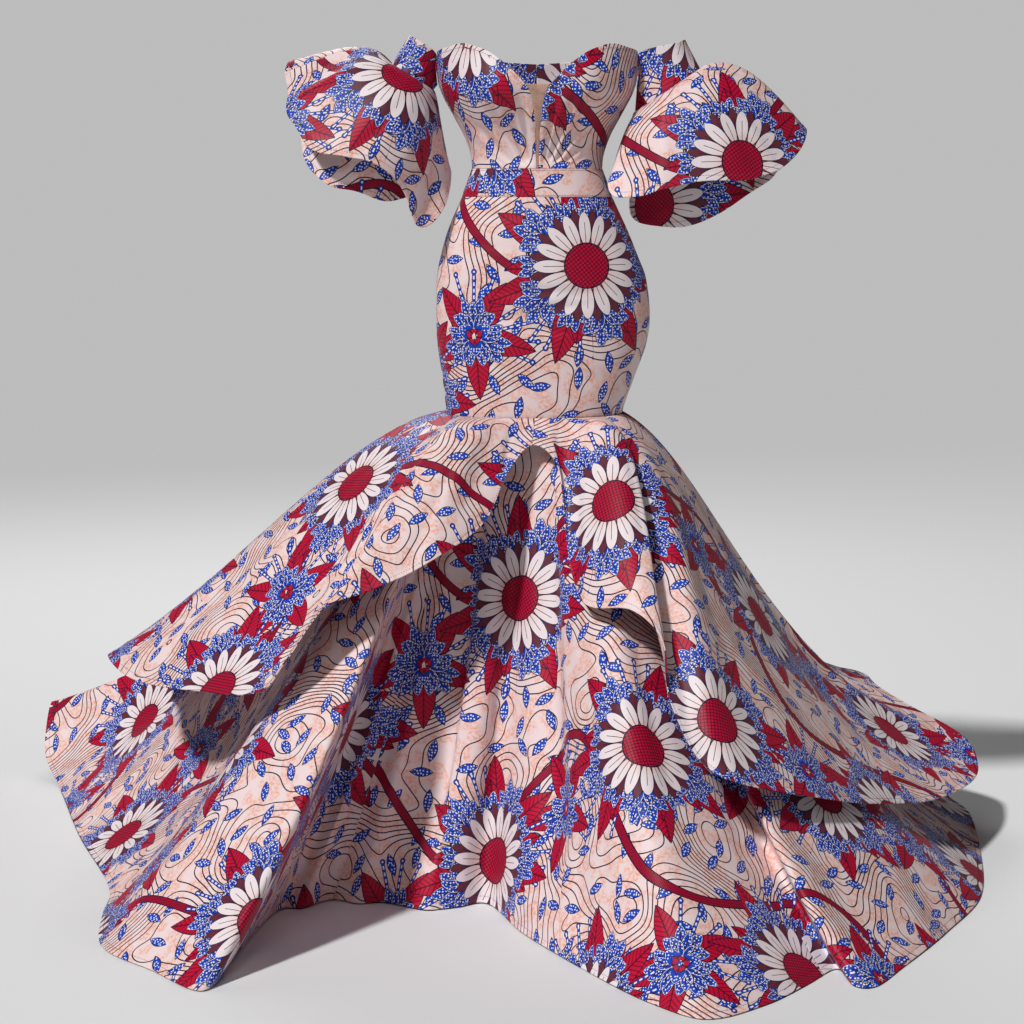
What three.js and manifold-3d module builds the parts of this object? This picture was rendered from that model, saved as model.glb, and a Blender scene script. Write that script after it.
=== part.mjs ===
// Off-the-shoulder mermaid gown in printed cloth, in the shape it has when it is worn.
// Millimetres, +Z up, the front faces -Y and +X is the gown's own left.
// The origin is the middle of the waist, level with the seam over the waistband.

import Module from 'manifold-3d';
import * as THREE from 'three';
import { mergeVertices } from 'three/examples/jsm/utils/BufferGeometryUtils.js';

// Driving sizes
const WALL = 1.6; // cloth with its turned hems
const GAP = 0.3; // between pieces at a seam
const FLOOR = -1160; // the ground under the hem
const WAISTBAND_DEPTH = 45;
const SKIRT_SEAM = -400; // where both flounces are set on
const ZIP_TOP = 166;
const ZIP_END = -190;
const TIER_RISE = 1.5; // how far an upper flounce is set on above the seam it shares

const rad = (degrees) => (degrees * Math.PI) / 180;
const clamp01 = (value) => Math.min(1, Math.max(0, value));
const smooth = (value) => clamp01(value) ** 2 * (3 - 2 * clamp01(value));
const hump = (distance, width) => Math.exp(-((distance / width) ** 2));

/** Rows of plain numbers with named columns. */
const table = (columns, rows) =>
  rows.map((row) => Object.fromEntries(columns.map((name, i) => [name, row[i]])));

/** A smooth curve through one column of a table, read at a key. A period closes the table on itself. */
function read(rows, key, name, at, period = 0) {
  const count = rows.length;
  const first = rows[0][key];
  const x = period ? first + ((((at - first) % period) + period) % period) : at;
  const row = (i) => {
    const turns = period ? Math.floor(i / count) : 0;
    const index = period ? ((i % count) + count) % count : Math.min(count - 1, Math.max(0, i));
    return { x: rows[index][key] + turns * period, y: rows[index][name] };
  };
  let i = 0;
  while (i < count - (period ? 1 : 2) && row(i + 1).x <= x) i += 1;
  const [before, from, to, after] = [row(i - 1), row(i), row(i + 1), row(i + 2)];
  const slope = (a, b) => (b.x === a.x ? 0 : (b.y - a.y) / (b.x - a.x));
  const span = to.x - from.x;
  const t = clamp01((x - from.x) / span);
  const start = slope(before, to) * span;
  const end = slope(from, after) * span;
  const [t2, t3] = [t * t, t * t * t];
  return (
    (2 * t3 - 3 * t2 + 1) * from.y +
    (t3 - 2 * t2 + t) * start +
    (3 * t2 - 2 * t3) * to.y +
    (t3 - t2) * end
  );
}

// The fitted body, from bust to thigh

const BODY = table(
  ['z', 'half', 'front', 'back', 'shift'],
  [
    [215, 165, 112, 92, 0],
    [165, 164, 122, 98, 0],
    [125, 157, 124, 100, 0],
    [84, 136, 112, 95, 0],
    [54, 120, 99, 88, 0],
    [23, 109, 89, 82, 0],
    [0, 107, 87, 80, 0],
    [-15, 112, 88, 84, 0],
    [-45, 123, 92, 95, 0],
    [-99, 147, 102, 113, 1],
    [-145, 163, 108, 125, 4],
    [-177, 172, 110, 129, 7],
    [-241, 176, 110, 127, 10],
    [-287, 172, 108, 121, 8],
    [-335, 160, 105, 113, 3],
    [-386, 148, 102, 107, -3],
    [-410, 145, 101, 105, -5],
  ].reverse(),
);
const BODY_SQUARENESS = 2.3; // 2 would be an ellipse
const RELIEF_REACH = 2.5; // how sharply the front's relief ends before the side seams

const NECKLINE = table(
  ['bearing', 'z'],
  [
    [0, 131],
    [5, 132],
    [8, 142],
    [12, 155],
    [18, 170],
    [25, 183],
    [35, 193],
    [44, 197],
    [59, 192],
    [70, 189],
    [78, 184],
    [84, 160],
    [90, 137],
    [98, 160],
    [106, 184],
    [125, 184],
    [150, 178],
    [180, 172],
  ],
);

// A cup's middle, its spread across and up, and how far it stands out
const CUP = { side: 74, height: 122, width: 44, rise: 46, stand: 20, foot: 40 };

// Gathers that fan from the foot of the net insert, on each side
const GATHERS = table(
  ['foot', 'tip', 'top', 'depth', 'width'],
  [
    [8, 30, 118, 3.0, 7],
    [15, 56, 112, 3.4, 8],
    [24, 84, 100, 3.0, 9],
    [36, 108, 78, 2.0, 9],
  ],
);

// A gather opens out from its foot and ends in a soft fade past its top
const GATHER = { opening: 6, past: 1.15, closing: 2.2, narrow: 0.45, spread: 0.6 };

// Soft creases across the front of the skirt
const CREASES = table(
  ['x', 'z', 'length', 'tilt', 'depth', 'width'],
  [
    [0, -196, 75, -2, 2.6, 9],
    [28, -222, 42, 6, 3.4, 8],
    [14, -256, 48, -3, 3.4, 9],
    [-60, -238, 50, 4, 1.6, 10],
  ],
);

/** How far the cloth of the fitted body stands off its plain outline, at a point of the front. */
function bodyRelief(x, z) {
  const cup =
    CUP.stand * hump(Math.abs(x) - CUP.side, CUP.width) * hump(z - CUP.height, CUP.rise);
  let relief = z > 0 ? cup * smooth(z / CUP.foot) : 0;
  for (const row of GATHERS) {
    const along = z / row.top;
    const line = row.foot + (row.tip - row.foot) * along;
    const fade = smooth(along * GATHER.opening) * smooth((GATHER.past - along) * GATHER.closing);
    const width = row.width * (GATHER.narrow + GATHER.spread * along);
    relief -= row.depth * fade * hump(Math.abs(x) - line, width);
  }
  for (const row of CREASES) {
    const run = (x - row.x) / row.length;
    relief -= row.depth * hump(run, 1) * hump(z - row.z - row.tilt * run, row.width);
  }
  return relief;
}

/** A point of the fitted body's outside. Bearing 0 is the front, 90 the left side, 180 the back. */
function bodyPoint(bearing, z) {
  const power = 2 / BODY_SQUARENESS;
  const [s, c] = [Math.sin(rad(bearing)), Math.cos(rad(bearing))];
  const half = read(BODY, 'z', 'half', z);
  const depth = read(BODY, 'z', c > 0 ? 'front' : 'back', z);
  const x = half * Math.sign(s) * Math.abs(s) ** power;
  const relief = c > 0 ? bodyRelief(x, z) * smooth(c * RELIEF_REACH) : 0;
  const y = -(depth * Math.abs(c) ** power + relief) * Math.sign(c);
  return new THREE.Vector3(x + read(BODY, 'z', 'shift', z), y, z);
}

/** The bearing at which the body's outline is a given distance from the middle of the front. */
function bearingAt(x, z) {
  const share = Math.min(1, Math.abs(x) / read(BODY, 'z', 'half', z));
  return Math.sign(x) * THREE.MathUtils.radToDeg(Math.asin(share ** (BODY_SQUARENESS / 2)));
}

const necklineAt = (bearing) => {
  const wrapped = ((bearing + 540) % 360) - 180;
  return read(NECKLINE, 'bearing', 'z', Math.abs(wrapped));
};

// The net insert, a narrow dart of net between the cups
const INSERT = table(
  ['z', 'half'],
  [
    [0, 1.2],
    [50, 3.4],
    [90, 6],
    [119, 12],
    [137, 22],
  ],
);
const insertBearing = (z) => bearingAt(read(INSERT, 'z', 'half', z), z);

// Walls: every piece of cloth is a grid of outside points with an inside at one wall's depth

/** The outward unit normal of a surface function at u, v. */
function normalOf(surface, u, v, step = 1e-3) {
  const du = surface(u + step, v).sub(surface(u - step, v));
  const dv = surface(u, v + step).sub(surface(u, v - step));
  return du.cross(dv).normalize();
}

/**
 * A closed wall over a surface function. us and vs are the columns and rows of its grid, u runs to
 * the left side across the front and v runs up. A ring closes on itself, and a panel's two long
 * edges stay half a seam gap inside its bounds.
 */
function wall(surface, us, vs, { ring = false, thickness = WALL, sunk = 0, inset = GAP / 2 } = {}) {
  const outside = [];
  const inside = [];
  us.forEach((u, i) => {
    for (const v of vs) {
      const point = surface(u, v);
      const normal = normalOf(surface, u, v);
      if (!ring && (i === 0 || i === us.length - 1)) {
        const inwards = surface(us[i === 0 ? 1 : i - 1], v).sub(point).normalize();
        point.addScaledVector(inwards, inset);
      }
      outside.push(point.clone().addScaledVector(normal, -sunk));
      inside.push(point.clone().addScaledVector(normal, -sunk - thickness));
    }
  });
  const rows = vs.length;
  const columns = us.length;
  const points = [...outside, ...inside];
  const shell = outside.length;
  const faces = [];
  const quad = (a, b, c, d) => {
    const near = points[a].distanceTo(points[c]) <= points[b].distanceTo(points[d]);
    if (near) faces.push(a, b, c, a, c, d);
    else faces.push(a, b, d, b, c, d);
  };
  const spans = ring ? columns : columns - 1;
  const at = (i, j) => (i % columns) * rows + j;
  for (let i = 0; i < spans; i += 1) {
    for (let j = 0; j < rows - 1; j += 1) {
      quad(at(i, j), at(i + 1, j), at(i + 1, j + 1), at(i, j + 1));
      quad(shell + at(i, j), shell + at(i, j + 1), shell + at(i + 1, j + 1), shell + at(i + 1, j));
    }
    quad(at(i + 1, 0), at(i, 0), shell + at(i, 0), shell + at(i + 1, 0));
    const top = rows - 1;
    quad(at(i, top), at(i + 1, top), shell + at(i + 1, top), shell + at(i, top));
  }
  if (!ring) {
    const last = columns - 1;
    for (let j = 0; j < rows - 1; j += 1) {
      quad(at(0, j), at(0, j + 1), shell + at(0, j + 1), shell + at(0, j));
      quad(at(last, j + 1), at(last, j), shell + at(last, j), shell + at(last, j + 1));
    }
  }
  const geometry = new THREE.BufferGeometry();
  geometry.setAttribute(
    'position',
    new THREE.Float32BufferAttribute(points.flatMap((p) => [p.x, p.y, p.z]), 3),
  );
  geometry.setIndex(faces);
  geometry.computeVertexNormals();
  return geometry;
}

const steps = (from, to, count) =>
  Array.from({ length: count + 1 }, (_, i) => from + ((to - from) * i) / count);

// Finishes
const finish = (name, color, roughness, metalness = 0) =>
  new THREE.MeshStandardMaterial({ name, color, roughness, metalness });
const PRINT = finish('wax_print', '#c99a97', 0.55);
const NET = finish('nude_net', '#c9a088', 0.8);
const ZIP = finish('zip_tape', '#2a2340', 0.7);
const METAL = finish('zip_metal', '#9a9aa0', 0.35, 1);

const gown = new THREE.Group();
gown.name = 'mermaid_gown';

function add(name, geometry, material = PRINT) {
  const mesh = new THREE.Mesh(geometry, material);
  mesh.name = name;
  gown.add(mesh);
  return mesh;
}

// Bodice

const FIRST_HEIGHT = 150; // where the search for a height on the bodice starts
const CROWDING = 0.25; // columns stand closer together beside the net insert, where the gathers are

/** A bodice surface whose edges may lean; v is 0 at the waist and 1 at the top edge. */
const bodiceSurface = (edgeAt) => (u, v) => {
  let z = FIRST_HEIGHT * v;
  let bearing = 0;
  for (let pass = 0; pass < 4; pass += 1) {
    bearing = edgeAt(u, z);
    z = GAP / 2 + v * (necklineAt(bearing) - GAP / 2);
  }
  return bodyPoint(bearing, z);
};

function bodice() {
  for (const [name, side] of [['right', -1], ['left', 1]]) {
    const front = bodiceSurface((u, z) => {
      const inner = insertBearing(z);
      return side * (inner + (90 - inner) * (side > 0 ? u : 1 - u));
    });
    const gathered = steps(0, 1, 16).map((share) => share * (1 - CROWDING + CROWDING * share));
    const us = side > 0 ? gathered : gathered.map((share) => 1 - share).reverse();
    add(`bodice_front_${name}`, wall(front, us, steps(0, 1, 9)));
    const back = bodiceSurface((u) => (side > 0 ? 90 + 90 * u : 180 + 90 * u));
    add(`bodice_back_${name}`, wall(back, steps(0, 1, 7), steps(0, 1, 6)));
  }
  const edge = bodiceSurface((u, z) => insertBearing(z));
  const net = (u, v) => {
    const { z } = edge(0, v);
    return bodyPoint((2 * u - 1) * insertBearing(z), z);
  };
  add('bodice_net_insert', wall(net, steps(0, 1, 4), steps(0, 1, 9), { thickness: 1 }), NET);
}

// Waistband and skirt

const BAND_PROUD = 0.8; // the waistband lies this far outside the cloth beside it

/** A level band of the fitted body between two heights. */
const bandSurface = (low, high) => (u, v) => bodyPoint(u, low + (high - low) * v);

function waistband() {
  const band = bandSurface(-WAISTBAND_DEPTH + GAP / 2, -GAP / 2);
  const proud = { thickness: WALL + BAND_PROUD, sunk: -BAND_PROUD };
  add('waistband_front', wall(band, steps(-90, 90, 14), steps(0, 1, 2), proud));
  add('waistband_back_left', wall(band, steps(90, 180, 7), steps(0, 1, 2), proud));
  add('waistband_back_right', wall(band, steps(180, 270, 7), steps(0, 1, 2), proud));
}

function fittedSkirt() {
  const band = bandSurface(SKIRT_SEAM + GAP / 2, -WAISTBAND_DEPTH - GAP / 2);
  add('skirt_front', wall(band, steps(-90, 90, 18), steps(0, 1, 15)));
  add('skirt_back_left', wall(band, steps(90, 180, 7), steps(0, 1, 8)));
  add('skirt_back_right', wall(band, steps(180, 270, 7), steps(0, 1, 8)));
}

// Flounces: cloth set on a seam line that falls to a hem of folds

const CROWN_AT = 0.2; // where along the fall the crown pulls it out
const BELLY_AT = 0.62; // and where the belly does
const CREASE_FADE = 0.25; // the share of the fall over which a crease starts and ends
const FAINTEST = 0.05; // a relief shallower than this is left plain

/**
 * A flounce surface. The seam gives a point and an outward direction at a key. The hem is a closed
 * table of folds, in which crown and belly say how far the fall stands out near the seam and near
 * the hem. Creases are soft troughs between two heights of the fall, from 0 at the seam to 1,
 * and deepen as the cloth spreads.
 */
function flounceSurface(seam, hem, creases = []) {
  const fall = (u, v) => {
    const { point, outward } = seam(u);
    const column = (name) => read(hem, 'at', name, u, 360);
    const foot = new THREE.Vector3(column('x'), column('y'), column('z'));
    const chord = foot.clone().sub(point);
    const length = chord.length();
    const along = chord.clone().normalize();
    const stand = outward.clone().addScaledVector(along, -outward.dot(along)).normalize();
    const upper = point.clone().addScaledVector(chord, CROWN_AT);
    upper.addScaledVector(stand, column('crown') * length);
    const lower = point.clone().addScaledVector(chord, BELLY_AT);
    lower.addScaledVector(stand, column('belly') * length);
    const t = 1 - v;
    return point
      .multiplyScalar((1 - t) ** 3)
      .addScaledVector(upper, 3 * t * (1 - t) ** 2)
      .addScaledVector(lower, 3 * t * t * (1 - t))
      .addScaledVector(foot, t ** 3);
  };
  if (!creases.length) return fall;
  return (u, v) => {
    const t = 1 - v;
    let depth = 0;
    for (const row of creases) {
      const away = ((((u - row.at) % 360) + 540) % 360) - 180;
      const height = smooth((t - row.from) / CREASE_FADE) * smooth((row.to - t) / CREASE_FADE);
      depth += row.depth * t * height * hump(away, row.width);
    }
    const point = fall(u, v);
    if (Math.abs(depth) < FAINTEST) return point;
    return point.addScaledVector(normalOf(fall, u, v), -depth);
  };
}

/** Rows of v from hem to seam, closer together near the seam, where the fall bends most. */
const fallRows = (count, bend = 1.35) => steps(0, 1, count).map((share) => 1 - (1 - share) ** bend);

/** Columns of a panel: each fold row inside it, with a few columns between. */
function foldColumns(hem, from, to, between = 2) {
  const keys = [];
  for (let turn = -1; turn <= 1; turn += 1) keys.push(...hem.map((row) => row.at + 360 * turn));
  const inner = keys.filter((key) => key > from + 1 && key < to - 1).sort((a, b) => a - b);
  const stops = [from, ...inner, to];
  return stops.slice(1).flatMap((stop, i) => steps(stops[i], stop, between).slice(i ? 1 : 0));
}

/** Adds a flounce as panels between the given keys. */
function flounce(prefix, surface, hem, panels, rows, between = 2) {
  for (const { name, from, to } of panels) {
    add(`${prefix}_${name}`, wall(surface, foldColumns(hem, from, to, between), fallRows(rows)));
  }
}

/** The line round the foot of the skirt on which a flounce is set. */
const skirtSeam = (rise, outset) => (bearing) => {
  const point = bodyPoint(bearing, SKIRT_SEAM + rise);
  const ahead = bodyPoint(bearing + 1, SKIRT_SEAM + rise);
  const along = ahead.sub(point).normalize();
  const outward = along.cross(new THREE.Vector3(0, 0, 1)).normalize();
  return { point: point.addScaledVector(outward, outset), outward };
};

// Folds that repeat are uneven: the share by which their depth changes, and how fast
const UNEVEN = { share: 0.35, turn: 2.3 };

/**
 * Plain folds round the hidden back, ridge and valley in turn, from the left side to the right. The
 * keys are bearings at the seam, and spread says to which bearings the hem has opened.
 */
function backFolds({ keys, spread, count, reach, lift, depth, crown, belly }) {
  const blend = ([from, to], share) => from + (to - from) * share;
  return steps(0, 1, count).map((share, i) => {
    const bearing = rad(blend(spread, share));
    const swing = depth * (1 + UNEVEN.share * Math.sin(UNEVEN.turn * i));
    const out = blend(reach, share) + (i % 2 ? swing : -swing);
    return {
      at: blend(keys, share),
      x: out * Math.sin(bearing),
      y: -out * Math.cos(bearing),
      z: FLOOR + blend(lift, share),
      crown: blend(crown, share),
      belly: blend(belly, share),
    };
  });
}

const hemRows = (rows) =>
  table(['at', 'x', 'y', 'lift', 'crown', 'belly'], rows).map((row) => ({
    ...row,
    z: FLOOR + row.lift,
  }));

const LOWER_HEM = [
  ...hemRows([
    [-106, -928, 690, 84, 0.0, -0.13],
    [-99, -938, 620, 132, 0.0, -0.13],
    [-93, -944, 580, 44, 0.0, -0.11],
    [-86.5, -894, 457, 3, 0.0, -0.09],
    [-80, -795, 111, 2, 0.0, -0.09],
    [-73.5, -697, -180, 2, 0.0, -0.09],
    [-69, -684, -321, 2, 0.0, -0.08],
    [-65, -657, -484, 2, 0.0, -0.07],
    [-61, -572, -586, 2, 0.0, -0.06],
    [-56, -478, -680, 2, 0.0, -0.06],
    [-51, -448, -503, 2, 0.0, -0.06],
    [-46, -413, -306, 2, 0.0, -0.06],
    [-41, -370, -290, 2, 0.0, -0.04],
    [-35, -327, -244, 2, 0.0, -0.03],
    [-30, -286, -266, 2, 0.0, -0.02],
    [-25, -244, -260, 2, 0.0, -0.02],
    [-18, -178, -300, 2, 0.0, -0.01],
    [-11, -128, -285, 2, 0.0, 0.0],
    [-4, -79, -268, 2, 0.0, -0.02],
    [3, -29, -408, 2, 0.0, -0.06],
    [10, 30, -527, 2, 0.0, -0.08],
    [16, 86, -630, 2, 0.0, -0.1],
    [22, 152, -732, 2, 0.0, -0.1],
    [28, 224, -798, 2, 0.0, -0.1],
    [36, 313, -740, 2, 0.0, -0.1],
    [43, 386, -650, 2, 0.0, -0.1],
    [49, 434, -586, 2, 0.0, -0.1],
    [54, 448, -660, 2, 0.0, -0.09],
    [58, 482, -660, 2, 0.0, -0.09],
    [63, 545, -556, 2, 0.0, -0.08],
    [69, 628, -407, 2, 0.0, -0.06],
    [76, 713, -225, 2, 0.0, -0.09],
    [84, 764, 48, 2, 0.0, -0.14],
    [92, 790, 277, 2, 0.0, -0.18],
  ]),
  ...backFolds({
    keys: [101, 245],
    spread: [118, 226],
    count: 14,
    reach: [910, 1080],
    lift: [2, 14],
    depth: 34,
    crown: [0.0, 0.02],
    belly: [-0.2, -0.13],
  }),
];

// Troughs, and with a negative depth ridges, that run down the lower flounce
const LOWER_CREASES = table(
  ['at', 'width', 'depth', 'from', 'to'],
  [
    [-78, 4, 34, 0.3, 1.05],
    [-64, 6, -16, 0.2, 0.95],
    [-43, 4, 9, 0.4, 1.0],
    [-33, 3, 6, 0.4, 0.95],
    [-21, 4, 42, 0.12, 0.98],
    [-10, 4, -14, 0.2, 0.9],
    [7, 5, 40, 0.15, 0.95],
    [27, 7, -18, 0.25, 0.95],
    [51, 4, 8, 0.4, 1.0],
    [80, 4, 16, 0.45, 1.0],
    [118, 4, 22, 0.3, 1.0],
    [141, 5, 26, 0.25, 0.95],
    [166, 4, 20, 0.35, 1.0],
    [189, 5, 28, 0.25, 0.95],
    [211, 4, 22, 0.35, 1.0],
    [233, 5, 26, 0.3, 0.95],
  ],
);

const UPPER_HEM = [
  ...hemRows([
    [-109, -738, 330, 308, 0.1, -0.02],
    [-100, -728, 190, 326, 0.1, -0.02],
    [-90, -725, 30, 342, 0.11, -0.03],
    [-79, -657, -112, 332, 0.11, -0.02],
    [-68, -535, -236, 340, 0.12, -0.01],
    [-58, -436, -326, 358, 0.13, 0.01],
    [-50, -388, -350, 413, 0.15, 0.03],
    [-42, -330, -358, 494, 0.18, 0.04],
    [-33, -258, -340, 520, 0.22, 0.06],
    [-24, -167, -310, 560, 0.24, 0.06],
    [-15, -84, -240, 611, 0.2, 0.06],
    [-8, -52, -190, 676, 0.12, 0.04],
    [0, -9, -152, 723, 0.04, 0.0],
    [8, 32, -184, 692, 0.08, 0.04],
    [14, 43, -222, 614, 0.11, 0.04],
    [19, 51, -268, 536, 0.14, 0.05],
    [25, 73, -332, 496, 0.17, 0.06],
    [34, 141, -392, 498, 0.2, 0.07],
    [42, 186, -430, 456, 0.18, 0.06],
    [49, 196, -455, 372, 0.14, 0.05],
    [56, 240, -510, 292, 0.13, 0.03],
    [64, 300, -520, 262, 0.11, 0.01],
    [73, 437, -405, 210, 0.08, -0.05],
    [80, 529, -290, 172, 0.07, -0.08],
    [88, 655, -110, 132, 0.06, -0.14],
    [95, 752, 80, 112, 0.06, -0.19],
    [101, 786, 200, 116, 0.06, -0.21],
    [107, 772, 282, 148, 0.06, -0.21],
  ]),
  ...backFolds({
    keys: [116, 242],
    spread: [121, 237],
    count: 12,
    reach: [780, 822],
    lift: [206, 300],
    depth: 24,
    crown: [0.05, 0.1],
    belly: [-0.2, -0.03],
  }),
];

// The same for the upper flounce
const UPPER_CREASES = table(
  ['at', 'width', 'depth', 'from', 'to'],
  [
    [-84, 5, 14, 0.25, 0.95],
    [-62, 5, 12, 0.3, 1.0],
    [-46, 4, 16, 0.2, 0.95],
    [-19, 4, 12, 0.15, 0.9],
    [31, 5, -8, 0.3, 1.05],
    [48, 4, 22, 0.2, 0.95],
    [60, 5, -12, 0.3, 1.0],
    [78, 6, 12, 0.25, 0.8],
    [93, 4, 16, 0.5, 1.0],
    [122, 5, 18, 0.2, 0.95],
    [149, 5, 16, 0.3, 1.0],
    [175, 4, 20, 0.2, 0.95],
    [204, 5, 16, 0.3, 1.0],
    [232, 5, 18, 0.25, 0.95],
  ],
);

const LOWER_PANELS = table(
  ['name', 'from', 'to'],
  [
    ['front', -35, 10],
    ['front_left', 10, 46],
    ['side_left', 46, 101],
    ['back_left', 101, 142],
    ['train_left', 142, 180],
    ['train_right', 180, 214],
    ['back_right', 214, 254],
    ['side_right', -106, -69],
    ['front_right', -69, -35],
  ],
);

const UPPER_PANELS = table(
  ['name', 'from', 'to'],
  [
    ['front_left', 0, 49],
    ['side_left', 49, 107],
    ['back_left', 107, 180],
    ['back_right', 180, 251],
    ['side_right', -109, -42],
    ['front_right', -42, 0],
  ],
);

function skirtFlounces() {
  const upper = flounceSurface(skirtSeam(TIER_RISE, WALL + GAP), UPPER_HEM, UPPER_CREASES);
  flounce('upper_flounce', upper, UPPER_HEM, UPPER_PANELS, 8);
  const lower = flounceSurface(skirtSeam(-GAP / 2, 0), LOWER_HEM, LOWER_CREASES);
  flounce('lower_flounce', lower, LOWER_HEM, LOWER_PANELS, 8);
}

// Sleeves: a band beside each armhole and two flounces set on its lower edge

const ARMHOLE_BEARINGS = [77, 83, 90, 97, 104];
const ARMHOLE_DROP = 2; // the band meets the bodice just under its edge

/** The top line of a sleeve band: along the bodice's armhole, then round its crest. */
function armLine(side, crest) {
  const onBodice = ARMHOLE_BEARINGS.map((bearing) => {
    const point = bodyPoint(bearing, necklineAt(bearing) - ARMHOLE_DROP);
    point.x += WALL + GAP * 2;
    return point;
  });
  const points = [...crest.map((row) => new THREE.Vector3(row.x, row.y, row.z)), ...onBodice];
  points.forEach((point) => point.setX(point.x * side));
  return new THREE.CatmullRomCurve3(points, true);
}

/**
 * The lower line of a sleeve band, an ellipse counted from its outer end round the front. Moved out
 * by outset and up towards the band by rise.
 */
const cuffLine = (side, cuff, rise = 0, outset = 0) => (degrees) => {
  const long = new THREE.Vector3(side * cuff.outX, 0, cuff.outZ);
  const across = new THREE.Vector3(0, -cuff.depth, 0);
  const axis = new THREE.Vector3(-side * cuff.outZ, 0, cuff.outX).normalize();
  const [c, s] = [Math.cos(rad(degrees)), Math.sin(rad(degrees))];
  const outward = long
    .clone()
    .multiplyScalar(c / long.lengthSq())
    .addScaledVector(across, s / across.lengthSq())
    .normalize();
  const point = new THREE.Vector3(side * cuff.x, cuff.y, cuff.z)
    .addScaledVector(long, c)
    .addScaledVector(across, s)
    .addScaledVector(outward, outset)
    .addScaledVector(axis, rise);
  return { point, outward };
};

const SLEEVES = {
  right: {
    side: -1,
    crest: table(
      ['x', 'y', 'z'],
      [
        [200, 32, 208],
        [208, 0, 214],
        [194, -36, 206],
      ],
    ),
    cuff: { x: 203, y: 0, z: 147, outX: 34, outZ: 21, depth: 50 },
    upper: table(
      ['at', 'x', 'y', 'z', 'crown', 'belly'],
      [
        [0, -410, -4, 156, 0.3, 0.1],
        [22, -402, -42, 124, 0.26, 0.06],
        [46, -400, -86, 88, 0.24, 0.05],
        [62, -386, -102, 68, 0.24, 0.05],
        [78, -358, -125, 30, 0.24, 0.06],
        [96, -306, -142, 20, 0.26, 0.08],
        [112, -268, -142, 12, 0.26, 0.08],
        [126, -234, -128, -8, 0.22, 0.08],
        [138, -212, -108, -38, 0.18, 0.06],
        [150, -194, -94, -88, 0.14, 0.04],
        [162, -170, -76, -88, 0.1, 0.02],
        [176, -146, -50, -52, 0.05, 0.0],
        [192, -141, -2, -2, 0.02, -0.02],
        [212, -168, 50, -26, 0.1, 0.02],
        [236, -226, 94, -6, 0.16, 0.06],
        [262, -290, 112, 8, 0.2, 0.08],
        [288, -350, 108, 46, 0.22, 0.08],
        [314, -394, 84, 104, 0.24, 0.1],
        [338, -403, 36, 172, 0.3, 0.12],
      ],
    ),
    lower: table(
      ['at', 'x', 'y', 'z', 'crown', 'belly'],
      [
        [0, -372, 0, 110, 0.06, 0.02],
        [30, -380, -46, 70, 0.06, 0.02],
        [56, -372, -80, 12, 0.08, 0.02],
        [80, -334, -98, -26, 0.1, 0.04],
        [102, -290, -94, -36, 0.1, 0.04],
        [124, -246, -72, -52, 0.08, 0.02],
        [146, -212, -54, -46, 0.04, 0.0],
        [170, -172, -26, -34, 0.02, 0.0],
        [192, -166, 6, -22, 0.02, 0.0],
        [216, -196, 40, -42, 0.04, 0.0],
        [244, -246, 64, -50, 0.08, 0.02],
        [274, -306, 72, -30, 0.08, 0.02],
        [304, -348, 56, 18, 0.08, 0.02],
        [334, -378, 28, 74, 0.06, 0.02],
      ],
    ),
  },
  left: {
    side: 1,
    crest: table(
      ['x', 'y', 'z'],
      [
        [230, 34, 200],
        [240, 0, 207],
        [222, -38, 200],
      ],
    ),
    cuff: { x: 212, y: 0, z: 126, outX: 53, outZ: 35, depth: 52 },
    upper: table(
      ['at', 'x', 'y', 'z', 'crown', 'belly'],
      [
        [0, 440, 4, 64, 0.3, 0.12],
        [20, 426, -40, 32, 0.28, 0.12],
        [38, 392, -90, 2, 0.26, 0.12],
        [54, 362, -106, -10, 0.26, 0.12],
        [70, 329, -122, -18, 0.26, 0.12],
        [88, 256, -136, -20, 0.26, 0.12],
        [104, 193, -136, -34, 0.24, 0.1],
        [118, 162, -126, -43, 0.22, 0.08],
        [132, 122, -108, -44, 0.18, 0.04],
        [146, 112, -90, -24, 0.12, 0.02],
        [162, 124, -58, -10, 0.06, 0.0],
        [182, 138, 0, -16, 0.02, -0.02],
        [206, 158, 52, -44, 0.1, 0.02],
        [232, 212, 92, -34, 0.16, 0.06],
        [260, 276, 112, -22, 0.2, 0.1],
        [288, 344, 104, -2, 0.22, 0.12],
        [314, 402, 76, 24, 0.26, 0.12],
        [338, 434, 40, 50, 0.28, 0.12],
      ],
    ),
    lower: table(
      ['at', 'x', 'y', 'z', 'crown', 'belly'],
      [
        [0, 396, 10, 6, 0.12, 0.04],
        [26, 380, -34, -16, 0.12, 0.04],
        [52, 340, -70, -40, 0.12, 0.04],
        [76, 290, -88, -72, 0.12, 0.04],
        [98, 240, -84, -92, 0.1, 0.02],
        [120, 196, -70, -92, 0.06, 0.0],
        [146, 160, -44, -84, 0.02, 0.0],
        [172, 150, -10, -60, 0.0, 0.0],
        [196, 160, 24, -66, 0.02, 0.0],
        [222, 196, 52, -88, 0.04, 0.0],
        [250, 246, 72, -84, 0.08, 0.02],
        [280, 306, 74, -56, 0.1, 0.02],
        [308, 352, 56, -26, 0.12, 0.04],
        [336, 386, 32, 0, 0.12, 0.04],
      ],
    ),
  },
};

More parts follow.
